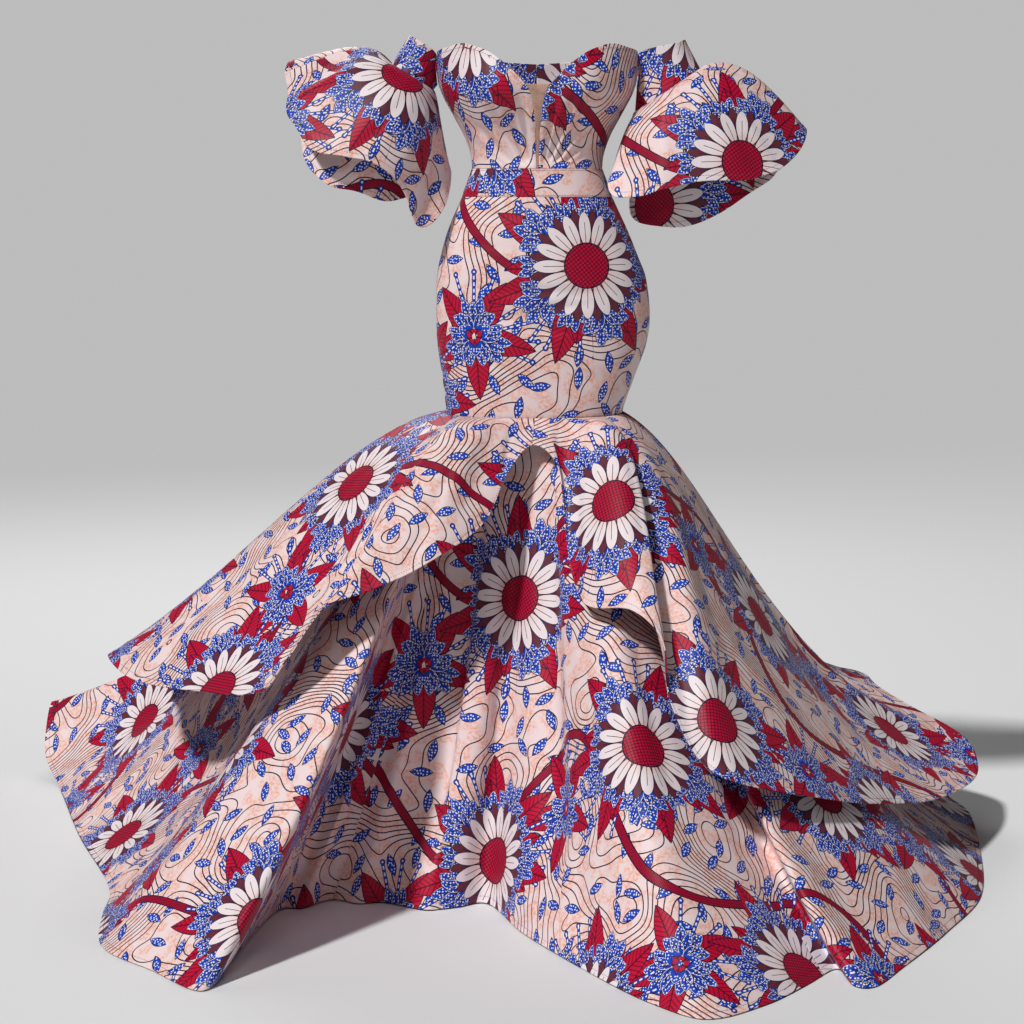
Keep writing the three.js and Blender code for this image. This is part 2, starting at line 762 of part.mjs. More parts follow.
function sleeve(name, { side, crest, cuff, upper, lower }) {
  const top = armLine(side, crest);
  const cuffAt = cuffLine(side, cuff);
  const crestPeak = 1 / (crest.length + ARMHOLE_BEARINGS.length); // the crest's second point
  const band = (u, v) => {
    const share = (2 + crestPeak + u / 360) % 1;
    return cuffAt(u).point.lerp(top.getPoint(share), v);
  };
  const turn = side > 0 ? -1 : 1;
  const wound = (surface) => (u, v) => surface(turn * u, v);
  const flat = steps(0, 360, 20).slice(0, -1);
  add(`sleeve_${name}_band`, wall(wound(band), flat, steps(0, 1, 3), { ring: true }));
  const halves = table(
    ['name', 'from', 'to'],
    side > 0
      ? [['front', -180, 0], ['back', -360, -180]]
      : [['front', 0, 180], ['back', 180, 360]],
  );
  const spin = (rows) => rows.map((row) => ({ ...row, at: turn * row.at }));
  const tiers = table(
    ['tier', 'rows', 'rise', 'outset'],
    [
      ['upper', upper, TIER_RISE, WALL + GAP],
      ['lower', lower, -2 * GAP, 0],
    ],
  );
  for (const { tier, rows, rise, outset } of tiers) {
    const surface = flounceSurface(cuffLine(side, cuff, rise, outset), rows);
    flounce(`sleeve_${name}_${tier}`, wound(surface), spin(rows), halves, 5);
  }
}

// Centre-back zip: a narrow coil over the seam, with a slider and a hanging pull

const COIL = { half: 0.5, thickness: 1.2, stand: GAP + 1.2 }; // half is half its width in degrees
const SLIDER = { width: 7, depth: 2.4, height: 9, z: ZIP_TOP - 6, clear: GAP + 0.45 };
const BRIDGE = { width: 1.6, height: 6.4, depth: 3, bar: 0.9, bite: 0.5 };
const PULL = { bar: 1, window: 3.6, opening: 4.4, rim: 0.9, width: 7, length: 25 };
const DROP = { swell: 0.55, turn: 0.75 }; // where down its length the drop widens, and rounds off

/** Overlapping closed parts joined into one closed body. */
async function joined(...parts) {
  const wasm = await Module();
  wasm.setup();
  const solids = parts.map((part) => {
    const welded = mergeVertices(part.deleteAttribute('normal').deleteAttribute('uv'), 1e-4);
    return new wasm.Manifold(
      new wasm.Mesh({
        numProp: 3,
        vertProperties: new Float32Array(welded.attributes.position.array),
        triVerts: new Uint32Array(welded.index.array),
      }),
    );
  });
  const mesh = wasm.Manifold.union(solids).getMesh();
  const geometry = new THREE.BufferGeometry();
  geometry.setAttribute('position', new THREE.BufferAttribute(mesh.vertProperties, 3));
  geometry.setIndex(new THREE.BufferAttribute(mesh.triVerts, 1));
  geometry.computeVertexNormals();
  return geometry;
}

/** A rectangle as a closed path. */
function rectangle(Path, left, bottom, right, top) {
  const path = new Path();
  path.moveTo(left, bottom);
  path.lineTo(right, bottom);
  path.lineTo(right, top);
  path.lineTo(left, top);
  path.closePath();
  return path;
}

/** The slider: a block with an arched bridge, whose back face lies at y = face. */
function sliderGeometry(face) {
  const outer = face + SLIDER.depth;
  const reach = BRIDGE.height / 2;
  const eye = reach - BRIDGE.bar;
  const arch = rectangle(THREE.Shape, -reach, outer - BRIDGE.bite, reach, outer + BRIDGE.depth);
  arch.holes.push(rectangle(THREE.Path, -eye, outer, eye, outer + BRIDGE.depth - BRIDGE.bar));
  const bridge = new THREE.ExtrudeGeometry(arch, { depth: BRIDGE.width, bevelEnabled: false });
  bridge.translate(0, 0, -BRIDGE.width / 2);
  bridge.rotateY(Math.PI / 2);
  const block = new THREE.BoxGeometry(SLIDER.width, SLIDER.depth, SLIDER.height);
  block.translate(0, face + SLIDER.depth / 2, 0);
  return joined(block, bridge);
}

/** The pull, a drop with a window round the bridge, hanging from a bar at the origin. */
function pullGeometry() {
  const top = PULL.bar / 2;
  const shoulder = PULL.window / 2 + PULL.rim;
  const foot = -PULL.length;
  const half = PULL.width / 2;
  const outline = new THREE.Shape();
  outline.moveTo(shoulder, top);
  outline.lineTo(-shoulder, top);
  outline.lineTo(-shoulder, -PULL.opening - PULL.bar);
  outline.quadraticCurveTo(-half, foot * DROP.swell, -half, foot * DROP.turn);
  outline.quadraticCurveTo(-half, foot, 0, foot);
  outline.quadraticCurveTo(half, foot, half, foot * DROP.turn);
  outline.quadraticCurveTo(half, foot * DROP.swell, shoulder, -PULL.opening - PULL.bar);
  outline.closePath();
  const side = PULL.window / 2;
  outline.holes.push(rectangle(THREE.Path, -side, -top - PULL.opening, side, -top));
  const drop = new THREE.ExtrudeGeometry(outline, {
    depth: PULL.bar,
    bevelEnabled: false,
    curveSegments: 5,
  });
  drop.translate(0, 0, -PULL.bar / 2);
  return drop.rotateX(Math.PI / 2);
}

async function zip() {
  const coil = (u, v) => bodyPoint(180 + u, ZIP_END + v * (ZIP_TOP - ZIP_END));
  const raised = { thickness: COIL.thickness, sunk: -COIL.thickness - COIL.stand };
  add('zip_coil', wall(coil, [-COIL.half, COIL.half], steps(0, 1, 30), raised), ZIP);

  const face = bodyPoint(180, SLIDER.z).y + COIL.stand + COIL.thickness + SLIDER.clear;
  const slider = await sliderGeometry(face);
  add('zip_slider', slider.translate(0, 0, SLIDER.z), METAL);
  const pin = face + SLIDER.depth + (BRIDGE.depth - BRIDGE.bar) / 2;
  add('zip_pull', pullGeometry().translate(0, pin, SLIDER.z), METAL);
}

bodice();
waistband();
fittedSkirt();
skirtFlounces();
sleeve('right', SLEEVES.right);
sleeve('left', SLEEVES.left);
await zip();

export default gown;
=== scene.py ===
"""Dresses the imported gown: printed cloth, net, stitches, zip, floor, light and camera."""
from __future__ import annotations

import logging  # noqa: E402
import math  # noqa: E402
from dataclasses import dataclass, field  # noqa: E402
from enum import Enum  # noqa: E402
from typing import Callable, Iterable, Sequence  # noqa: E402

import bpy  # noqa: E402
import numpy as np  # noqa: E402
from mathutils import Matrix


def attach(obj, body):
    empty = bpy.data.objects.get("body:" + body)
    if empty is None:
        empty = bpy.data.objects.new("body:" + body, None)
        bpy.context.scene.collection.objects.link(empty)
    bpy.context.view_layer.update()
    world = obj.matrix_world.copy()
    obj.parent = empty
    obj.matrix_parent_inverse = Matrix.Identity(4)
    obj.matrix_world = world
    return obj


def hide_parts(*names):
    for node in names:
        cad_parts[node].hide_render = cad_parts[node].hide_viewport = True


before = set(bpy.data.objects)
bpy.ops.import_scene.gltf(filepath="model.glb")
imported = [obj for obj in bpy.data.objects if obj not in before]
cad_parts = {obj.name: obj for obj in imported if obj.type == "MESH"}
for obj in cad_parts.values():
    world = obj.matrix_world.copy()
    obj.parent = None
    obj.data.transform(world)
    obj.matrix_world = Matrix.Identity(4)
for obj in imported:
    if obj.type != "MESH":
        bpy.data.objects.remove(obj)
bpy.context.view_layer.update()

LOG = logging.getLogger("gown")
MM = 0.001

# Sizes shared with the solids, in millimetres
GAP = 0.3
CLOTH = 1.1  # the cloth as it shows
WALL = 1.6  # the solids' wall, in which the cloth lies
FLOOR = -1160.0
WAISTBAND_DEPTH = 45.0
SKIRT_SEAM = -400.0
ZIP_TOP = 166.0
ZIP_END = -190.0
TIER_RISE = 1.5

# How hems and seams show in the cloth, in millimetres
HEM_DEPTH, HEM_BLEND = 9.0, 2.5
HEM_LIFT, HEM_EXTRA = 0.3, 0.55
HEM_GROOVE, HEM_GROOVE_WIDTH = 0.35, 1.6
EDGE_DROP, EDGE_DROP_WIDTH = 0.45, 2.5
SEAM_DROP, SEAM_DROP_WIDTH = 0.5, 2.2
SEAM_ROWS = (1.5, 4.0)
HEM_ROWS = (1.2, 7.0, 9.5)
GROUND_GAP = 1.0
STITCH_GROUND_GAP = 1.6

# How a cut is laid flat: how coarse each round's grid is, its passes, and how far each pass overreaches
FLATTENING = ((12, 400), (6, 300), (3, 200), (1, 90))
OVERREACH = 1.6
NEARLY_STRAIGHT = 0.01
LEAST_AREA_SHARE = 0.31

Surface = Callable[[np.ndarray, np.ndarray], np.ndarray]


class Hold(Enum):
    """How a piece of cloth is held."""

    HUNG = "hung"
    STRETCHED = "stretched"


class Slot(Enum):
    """The record's material slots."""

    PRINT = "wax_print"
    NET = "nude_net"
    TAPE = "zip_tape"
    METAL = "zip_metal"


def smooth(value: np.ndarray) -> np.ndarray:
    """A soft step from 0 to 1."""
    held = np.clip(value, 0.0, 1.0)
    return held * held * (3 - 2 * held)


def hump(distance: np.ndarray, width: np.ndarray | float) -> np.ndarray:
    """A soft rise that is 1 where the distance is 0."""
    return np.exp(-((distance / width) ** 2))


def paired(u: np.ndarray, v: np.ndarray) -> tuple[np.ndarray, np.ndarray]:
    """Two parameters as numbers of one shape."""
    return tuple(np.broadcast_arrays(np.asarray(u, float), np.asarray(v, float)))


def spin_by(angle: float) -> np.ndarray:
    """The matrix that turns rows of flat points to the left by an angle in radians."""
    return np.array([[math.cos(angle), math.sin(angle)], [-math.sin(angle), math.cos(angle)]])


def added(name: str, data: bpy.types.ID) -> bpy.types.Object:
    """A new object in the scene."""
    made = bpy.data.objects.new(name, data)
    bpy.context.scene.collection.objects.link(made)
    return made


@dataclass
class Table:
    """Rows of plain numbers with named columns, read as smooth curves.

    Args:
        columns: the columns' names, the first of which is the key.
        rows: a row of numbers for each section or fold.
        period: the key's period, or 0 where the table doesn't close on itself.
    """

    columns: str
    rows: Sequence[Sequence[float]]
    period: float = 0.0

    def __post_init__(self) -> None:
        """Sorts the rows into arrays by column."""
        names = self.columns.split()
        ordered = sorted(self.rows, key=lambda row: row[0])
        self.values = {n: np.array([row[i] for row in ordered], float) for i, n in enumerate(names)}
        self.key = self.values[names[0]]

    def at(self, name: str, where: np.ndarray) -> np.ndarray:
        """Reads one column at the given keys.

        Args:
            name: the column.
            where: the keys.

        Returns:
            The smooth curve's values there.
        """
        count, key, column = len(self.key), self.key, self.values[name]
        x = np.asarray(where, float)
        if self.period:
            x = key[0] + np.mod(x - key[0], self.period)
        first = np.searchsorted(key, x, side="right") - 1
        first = np.clip(first, 0, count - (1 if self.period else 2))

        def row(i: np.ndarray) -> tuple[np.ndarray, np.ndarray]:
            """The key and the value of row i, wrapped or held at the ends."""
            if self.period:
                return key[i % count] + np.floor_divide(i, count) * self.period, column[i % count]
            held = np.clip(i, 0, count - 1)
            return key[held], column[held]

        (x0, y0), (x1, y1), (x2, y2), (x3, y3) = (row(first + k) for k in (-1, 0, 1, 2))
        span = x2 - x1
        t = np.clip((x - x1) / span, 0.0, 1.0)
        start = (y2 - y0) / (x2 - x0) * span
        end = (y3 - y1) / (x3 - x1) * span
        t2, t3 = t * t, t * t * t
        near = (2 * t3 - 3 * t2 + 1) * y1 + (t3 - 2 * t2 + t) * start
        return near + (3 * t2 - 2 * t3) * y2 + (t3 - t2) * end


# The fitted body, from bust to thigh

BODY = Table("z half front back shift", [
    (215, 165, 112, 92, 0), (165, 164, 122, 98, 0), (125, 157, 124, 100, 0), (84, 136, 112, 95, 0),
    (54, 120, 99, 88, 0), (23, 109, 89, 82, 0), (0, 107, 87, 80, 0), (-15, 112, 88, 84, 0),
    (-45, 123, 92, 95, 0), (-99, 147, 102, 113, 1), (-145, 163, 108, 125, 4), (-177, 172, 110, 129, 7),
    (-241, 176, 110, 127, 10), (-287, 172, 108, 121, 8), (-335, 160, 105, 113, 3),
    (-386, 148, 102, 107, -3), (-410, 145, 101, 105, -5),
])
BODY_SQUARENESS = 2.3
RELIEF_REACH = 2.5
NECKLINE = Table("bearing z", [
    (0, 131), (5, 132), (8, 142), (12, 155), (18, 170), (25, 183), (35, 193), (44, 197), (59, 192),
    (70, 189), (78, 184), (84, 160), (90, 137), (98, 160), (106, 184), (125, 184), (150, 178), (180, 172),
])
CUP_SIDE, CUP_HEIGHT, CUP_WIDTH, CUP_RISE, CUP_STAND, CUP_FOOT = 74, 122, 44, 46, 20, 40
GATHERS = Table("foot tip top depth width", [
    (8, 30, 118, 6.4, 7), (15, 56, 112, 7.4, 8), (24, 84, 100, 6.4, 9), (36, 108, 78, 4.2, 9),
])
FINE_GATHERS = Table("foot tip top depth width", [
    (11, 42, 92, 3.0, 4), (19, 70, 84, 3.4, 4.5), (30, 94, 70, 2.6, 5), (44, 118, 52, 1.8, 6),
])
SKIRT_CREASES = Table("x z length tilt depth width", [
    (0, -196, 75, -2, 5.4, 9), (28, -222, 42, 6, 7.0, 8), (14, -256, 48, -3, 6.2, 9),
    (-60, -238, 50, 4, 3.2, 10),
])
FINE_CREASES = Table("x z length tilt depth width", [
    (44, -206, 34, 9, 2.8, 5), (-6, -236, 40, 3, 2.3, 5), (36, -240, 30, 2, 3.0, 5.5),
    (60, -268, 34, -9, 2.1, 6), (-84, -120, 40, -10, 1.4, 7), (92, -132, 36, 12, 1.6, 7),
    (-40, -74, 36, 3, 0.9, 5), (30, -70, 30, -4, 0.9, 5),
    (-96, -318, 34, 8, 1.3, 8), (84, -336, 38, -10, 1.5, 8), (-20, -352, 52, -3, 1.0, 9),
])
BACK_CREASES = Table("x z length tilt depth width", [
    (-30, -96, 44, 7, 1.6, 6), (26, -110, 40, -7, 1.7, 6), (-60, -150, 46, 9, 1.5, 8),
    (58, -146, 46, -10, 1.4, 8), (-16, -300, 60, 4, 1.8, 9), (30, -322, 54, -5, 1.6, 9),
    (0, -352, 60, 2, 1.2, 8), (-40, 24, 34, 6, 1.1, 6), (40, 30, 34, -6, 1.1, 6),
])
INSERT = Table("z half", [(0, 1.2), (50, 3.4), (90, 6), (119, 12), (137, 22)])


def creased(rows: Table, x: np.ndarray, z: np.ndarray) -> np.ndarray:
    """How deep soft creases are at a point.

    Args:
        rows: a row for each crease, with its middle, half length, tilt, depth and width.
        x: sideways places.
        z: heights.

    Returns:
        The depth there, in millimetres.
    """
    depth = np.zeros(np.broadcast(x, z).shape)
    for cx, cz, length, tilt, deep, width in rows.rows:
        run = (x - cx) / length
        depth = depth + deep * hump(run, 1) * hump(z - cz - tilt * run, width)
    return depth


def fanned(rows: Table, x: np.ndarray, z: np.ndarray) -> np.ndarray:
    """How deep the gathers are that fan out from the foot of the insert, in millimetres."""
    depth = np.zeros(np.broadcast(x, z).shape)
    for foot, tip, top, deep, width in rows.rows:
        along = z / top
        line = foot + (tip - foot) * along
        fade = smooth(along * 6) * smooth((1.15 - along) * 2.2)
        depth = depth + deep * fade * hump(np.abs(x) - line, np.maximum(width * (0.45 + 0.6 * along), 1.0))
    return depth


def body_point(bearing: np.ndarray, z: np.ndarray) -> np.ndarray:
    """Points of the fitted body's outside.

    Args:
        bearing: degrees, 0 at the front, 90 at the left side, 180 at the back.
        z: heights in millimetres.

    Returns:
        Points in millimetres, x, y and z last.
    """
    bearing, z = paired(bearing, z)
    power = 2 / BODY_SQUARENESS
    s, c = np.sin(np.radians(bearing)), np.cos(np.radians(bearing))
    half = BODY.at("half", z)
    depth = np.where(c > 0, BODY.at("front", z), BODY.at("back", z))
    x = half * np.sign(s) * np.abs(s) ** power
    cup = CUP_STAND * hump(np.abs(x) - CUP_SIDE, CUP_WIDTH) * hump(z - CUP_HEIGHT, CUP_RISE)
    front = np.where(z > 0, cup * smooth(z / CUP_FOOT), 0.0)
    front = front - fanned(GATHERS, x, z) - fanned(FINE_GATHERS, x, z)
    front = front - creased(SKIRT_CREASES, x, z) - creased(FINE_CREASES, x, z)
    back = -creased(BACK_CREASES, x, z)
    relief = np.where(c > 0, front, back) * smooth(np.abs(c) * RELIEF_REACH)
    y = -(depth * np.abs(c) ** power + relief) * np.sign(c)
    return np.stack([x + BODY.at("shift", z), y, z], -1)


def bearing_at(x: np.ndarray, z: np.ndarray) -> np.ndarray:
    """The bearing at which the outline is a given distance from the middle of the front."""
    share = np.minimum(1.0, np.abs(x) / BODY.at("half", z))
    return np.sign(x) * np.degrees(np.arcsin(share ** (BODY_SQUARENESS / 2)))


def neckline_at(bearing: np.ndarray) -> np.ndarray:
    """The height of the bodice's top edge at a bearing."""
    return NECKLINE.at("z", np.abs(np.mod(bearing + 540, 360) - 180))


def insert_bearing(z: np.ndarray) -> np.ndarray:
    """The bearing of the net insert's edge at a height."""
    return bearing_at(INSERT.at("half", z), z)


def unit(vectors: np.ndarray) -> np.ndarray:
    """Vectors of length 1."""
    return vectors / np.maximum(np.linalg.norm(vectors, axis=-1, keepdims=True), 1e-12)


def normal_of(surface: Surface, u: np.ndarray, v: np.ndarray, step: float = 1e-3) -> np.ndarray:
    """The outward unit normals of a surface function.

    Args:
        surface: the surface function.
        u: its first parameter.
        v: its second parameter.
        step: how far apart the points are that the slopes are taken from.

    Returns:
        A normal for each u and v.
    """
    du = surface(u + step, v) - surface(u - step, v)
    dv = surface(u, v + step) - surface(u, v - step)
    return unit(np.cross(du, dv))


# The flat cut of a panel


def rest_lengths(
    points: np.ndarray, columns: np.ndarray, rows: np.ndarray
) -> list[tuple[tuple, tuple, np.ndarray]]:
    """Measures a coarser grid along the cloth, across, down and over both diagonals of each cell.

    Args:
        points: the fine grid, columns by rows by 3.
        columns: the columns that the coarser grid keeps.
        rows: the rows that it keeps.

    Returns:
        For each direction the slices of its two ends and the lengths between them.
    """
    across = np.cumsum(np.linalg.norm(np.diff(points, axis=0, prepend=points[:1]), axis=-1), 0)
    down = np.cumsum(np.linalg.norm(np.diff(points, axis=1, prepend=points[:, :1]), axis=-1), 1)
    kept = np.ix_(columns, rows)
    coarse, across, down = points[kept], np.diff(across[kept], axis=0), np.diff(down[kept], axis=1)

    def chord(near: tuple, far: tuple) -> np.ndarray:
        """The straight distance between two slices of the coarser grid."""
        return np.linalg.norm(coarse[far] - coarse[near], axis=-1)

    whole, head, tail = slice(None), slice(0, -1), slice(1, None)
    level, upright = ((head, whole), (tail, whole)), ((whole, head), (whole, tail))
    wavy = (across[:, 1:] + down[1:]) / (chord(*level)[:, 1:] + chord(*upright)[1:])
    rising, falling = ((head, head), (tail, tail)), ((head, tail), (tail, head))
    diagonals = [(*way, chord(*way) * wavy) for way in (rising, falling)]
    return [(*level, across), (*upright, down), *diagonals]


def spread_over(values: np.ndarray, kept: np.ndarray, count: int) -> np.ndarray:
    """Fills in the values between the kept places of the first axis."""
    place = np.interp(np.arange(count), kept, np.arange(len(kept)))
    before = np.minimum(place.astype(int), len(kept) - 2)
    share = (place - before).reshape(-1, *([1] * (values.ndim - 1)))
    return values[before] * (1 - share) + values[before + 1] * share


def flattened(points: np.ndarray) -> np.ndarray:
    """Lays a grid of points flat with as little stretch as a relaxation from coarse to fine allows.

    Args:
        points: columns by rows by 3, in metres, with the rows from foot to head.

    Returns:
        Columns by rows by 2, in metres, head up, with its middle at the origin.
    """
    count = points.shape[:2]
    across = np.linalg.norm(np.diff(points, axis=0), axis=-1)
    down = np.linalg.norm(np.diff(points, axis=1), axis=-1)
    widths = across.sum(0)
    fall = down.sum(1)
    share = np.cumsum(np.vstack([np.zeros(count[1]), across]), 0) / widths
    share = share[:, count[1] // 3][:, None]
    above = fall[:, None] - np.cumsum(np.hstack([np.zeros((count[0], 1)), down]), 1)
    opening = widths[0] - widths[-1]
    if abs(opening) < NEARLY_STRAIGHT * widths[-1]:
        flat = np.stack([(share - 0.5) * widths[None, :], -above], -1)
    else:
        angle = opening / fall.mean()
        radius = widths[-1] / angle
        turn = angle * (share - 0.5)
        flat = np.stack([(radius + above) * np.sin(turn), radius - (radius + above) * np.cos(turn)], -1)
    for step, passes in FLATTENING:
        columns, rows = (np.unique(np.append(np.arange(0, n, step), n - 1)) for n in count)
        springs = rest_lengths(points, columns, rows)
        coarse = flat[np.ix_(columns, rows)].copy()
        before = coarse.copy()
        pulls = np.zeros(coarse.shape[:2])
        for near, far, _ in springs:
            pulls[near] += 1
            pulls[far] += 1
        for _ in range(passes):
            move = np.zeros_like(coarse)
            for near, far, rest in springs:
                edge = coarse[far] - coarse[near]
                length = np.maximum(np.linalg.norm(edge, axis=-1), 1e-9)
                push = edge * (0.5 * (1 - rest / length))[..., None]
                move[near] += push
                move[far] -= push
            coarse += OVERREACH * move / pulls[..., None]
        change = spread_over(coarse - before, columns, count[0])
        flat = flat + spread_over(change.swapaxes(0, 1), rows, count[1]).swapaxes(0, 1)
    return flat - flat.reshape(-1, 2).mean(0)


def cut_size(flat: np.ndarray) -> tuple[float, float]:
    """The sides of the smallest rectangle that a flat cut fits in, in metres."""
    turns = np.radians(np.arange(0, 90, 3.0))
    span = flat.reshape(-1, 2)
    sizes = []
    for turn in turns:
        placed = span @ spin_by(turn)
        sizes.append(placed.max(0) - placed.min(0))
    width, length = min(sizes, key=lambda size: size[0] * size[1])
    return float(width), float(length)


@dataclass(frozen=True)
class Lay:
    """Where a panel is cut from the cloth: its middle in metres, and its turn in degrees."""

    x: float = 0.0
    y: float = 0.0
    turn: float = 0.0


@dataclass
class Seams:
    """The upright edges of the panels made so far, on the gown and in the cut, which let the print run on."""

    samples: int = 13
    known: dict[str, list[tuple[np.ndarray, np.ndarray]]] = field(default_factory=dict)

    def edges(self, points: np.ndarray, flat: np.ndarray) -> list[tuple[np.ndarray, np.ndarray]]:
        """The two upright edges of a panel, each on the gown and in the cut."""
        share = np.linspace(0, 1, self.samples)

        def spaced(line: np.ndarray) -> np.ndarray:
            """A line's points at even shares of its index."""
            at = np.linspace(0, 1, len(line))
            return np.stack([np.interp(share, at, line[:, k]) for k in range(line.shape[1])], -1)

        return [(spaced(points[edge]), spaced(flat[edge])) for edge in (0, -1)]

    def join(self, node: str, beside: str, points: np.ndarray, flat: np.ndarray) -> np.ndarray:
        """Turns and shifts a cut so that its edge meets that of the panel beside it.

        Args:
            node: the panel's solid.
            beside: the solid of the panel beside it, or nothing.
            points: its points on the gown.
            flat: its cut.

        Returns:
            The cut in its new place.
        """
        mine = self.edges(points, flat)
        if beside:
            pairs = [(own, other) for own in mine for other in self.known[beside]]
            own, other = min(pairs, key=lambda pair: np.linalg.norm(pair[0][0] - pair[1][0], axis=-1).mean())
            here, there = own[1].mean(0), other[1].mean(0)
            spread = (own[1] - here).T @ (other[1] - there)
            turn = math.atan2(spread[0, 1] - spread[1, 0], spread[0, 0] + spread[1, 1])
            flat = (flat - here) @ spin_by(turn) + there
        self.known[node] = self.edges(points, flat)
        return flat


SEAMS = Seams()


@dataclass
class Panel:
    """A cut piece of cloth that stands for one solid.

    Args:
        node: the solid that it stands for.
        surface: its outside, in millimetres, u to the left side and v up.
        across: the span of u.
        lay: where it is cut from the cloth, unless it lies beside another panel.
        hold: how the cloth is held; not used.
        rests_on: the solids that carry it; not used.
        beside: the solid of a panel made before whose print runs on into this one.
        pitch: the distance between its points, in millimetres.
        ring: whether u closes on itself.
        hemmed: whether its foot is a turned hem.
        edged: whether its head is a turned edge.
        thickness: the cloth's thickness in millimetres.
        proud: how far its outside stands off the surface.
    """

    node: str
    surface: Surface
    across: tuple[float, float]
    lay: Lay = field(default_factory=Lay)
    hold: Hold = Hold.HUNG
    rests_on: tuple[str, ...] = ()
    pitch: float = 10.0
    beside: str = ""
    ring: bool = False
    hemmed: bool = False
    edged: bool = False
    thickness: float = CLOTH
    proud: float = -0.25

    def lines(self) -> tuple[np.ndarray, np.ndarray]:
        """The columns and rows of the grid, closer together beside seams and hems.

        Returns:
            The values of u, and those of v.
        """
        start, end = self.across
        u, v = np.linspace(start, end, 41), np.linspace(0, 1, 21)
        rough = self.surface(u[:, None], v[None, :])
        wide = np.linalg.norm(np.diff(rough, axis=0), axis=-1).sum(0).max()
        tall = np.linalg.norm(np.diff(rough, axis=1), axis=-1).sum(1).mean()
        columns = max(6, int(wide / self.pitch))
        rows = max(4, int(tall / self.pitch))
        us = np.linspace(start, end, columns + 1)
        if self.ring:
            us = us[:-1]
        else:
            lip = np.array(SEAM_ROWS) / wide * (end - start)
            us = np.unique(np.concatenate([us, start + lip, end - lip]))
        vs = np.linspace(0, 1, rows + 1)
        lip = np.array(HEM_ROWS) / tall
        vs = np.unique(np.concatenate([vs, lip, 1 - lip[:2]]))
        return us, vs

    def raise_cloth(self) -> tuple[bpy.types.Object, tuple[float, float], float]:
        """Builds the closed shell of the panel.

        Returns:
            The object, the size of its flat cut in metres, and the cut's area.
        """
        us, vs = self.lines()
        u, v = np.meshgrid(us, vs, indexing="ij")
        points = self.surface(u, v)
        normals = normal_of(self.surface, u, v)
        flat = flattened(np.concatenate([points, points[:1]]) * MM if self.ring else points * MM)
        flat = flat @ spin_by(math.radians(self.lay.turn)) + (self.lay.x, self.lay.y)
        flat = SEAMS.join(self.node, self.beside, points, flat)
        fall = np.linalg.norm(np.diff(points, axis=1), axis=-1).sum(1).mean()
        from_foot, from_head = v * fall, (1 - v) * fall
        lift = np.full(u.shape, self.proud)
        thick = np.full(u.shape, self.thickness)
        for turned, away in ((self.hemmed, from_foot), (self.edged, from_head)):
            if turned:
                fold = smooth((HEM_DEPTH - away) / HEM_BLEND)
                lift += HEM_LIFT * fold - HEM_GROOVE * hump(away - HEM_DEPTH, HEM_GROOVE_WIDTH)
                thick += HEM_EXTRA * fold
            else:
                lift -= EDGE_DROP * hump(away, EDGE_DROP_WIDTH)
        if not self.ring:
            for edge in (0, -1):
                away = np.linalg.norm(points - points[edge][None], axis=-1)
                lift -= SEAM_DROP * hump(away, SEAM_DROP_WIDTH)
            for edge, inner in ((0, 1), (-1, -2)):
                points[edge] += unit(points[inner] - points[edge]) * GAP / 2
        outside = points + normals * lift[..., None]
        inside = outside - normals * thick[..., None]
        for side in (outside, inside):
            side[..., 2] = np.maximum(side[..., 2], FLOOR + GROUND_GAP)
        return self._mesh(outside, inside, flat)

    def _mesh(
        self, outside: np.ndarray, inside: np.ndarray, flat: np.ndarray
    ) -> tuple[bpy.types.Object, tuple[float, float], float]:
        """Joins the two sides with rims, and writes the flat cut as the map named cut.

        Args:
            outside: the outer points in millimetres.
            inside: the inner points in millimetres.
            flat: the flat cut in metres, with one column more than the points on a ring.

        Returns:
            The object, its flat size and its flat area.
        """
        columns, rows = outside.shape[:2]
        shell = columns * rows
        index = np.arange(shell).reshape(columns, rows)
        spans = columns if self.ring else columns - 1
        i = np.arange(spans)
        j = np.arange(rows - 1)
        a, b = index[i][:, :-1], index[(i + 1) % columns][:, :-1]
        d, c = index[i][:, 1:], index[(i + 1) % columns][:, 1:]
        outer = np.stack([a, b, c, d], -1).reshape(-1, 4)
        inner = np.stack([a, d, c, b], -1).reshape(-1, 4) + shell
        foot = np.stack([index[(i + 1) % columns, 0], index[i, 0]], -1)
        foot = np.concatenate([foot, foot[:, ::-1] + shell], 1)
        head = np.stack([index[i, -1], index[(i + 1) % columns, -1]], -1)
        head = np.concatenate([head, head[:, ::-1] + shell], 1)
        rims = [foot, head]
        if not self.ring:
            start = np.stack([index[0, j], index[0, j + 1]], -1)
            end = np.stack([index[-1, j + 1], index[-1, j]], -1)
            rims += [np.concatenate([side, side[:, ::-1] + shell], 1) for side in (start, end)]
        faces = np.concatenate([outer, inner, *rims])
        mesh = bpy.data.meshes.new(f"cloth_{self.node}")
        points = np.concatenate([outside.reshape(-1, 3), inside.reshape(-1, 3)]) * MM
        mesh.vertices.add(len(points))
        mesh.vertices.foreach_set("co", points.ravel())
        mesh.loops.add(faces.size)
        mesh.loops.foreach_set("vertex_index", faces.ravel().astype(np.int32))
        mesh.polygons.add(len(faces))
        mesh.polygons.foreach_set("loop_start", np.arange(0, faces.size, 4, dtype=np.int32))
        soft = np.zeros(len(faces), bool)
        soft[: len(outer) + len(inner)] = True
        mesh.update(calc_edges=True)
        mesh.polygons.foreach_set("use_smooth", soft)
        corner = flat[:columns].reshape(-1, 2)
        corner = np.concatenate([corner, corner])[faces]
        if self.ring:
            last = np.repeat(np.arange(spans) == spans - 1, rows - 1)
            closing = flat[columns]
            for block, ahead in ((0, (1, 2)), (len(outer), (3, 2))):
                rows_of = np.flatnonzero(last) + block
                for k in ahead:
                    corner[rows_of, k] = closing[faces[rows_of, k] % shell]
        layer = mesh.uv_layers.new(name="cut")
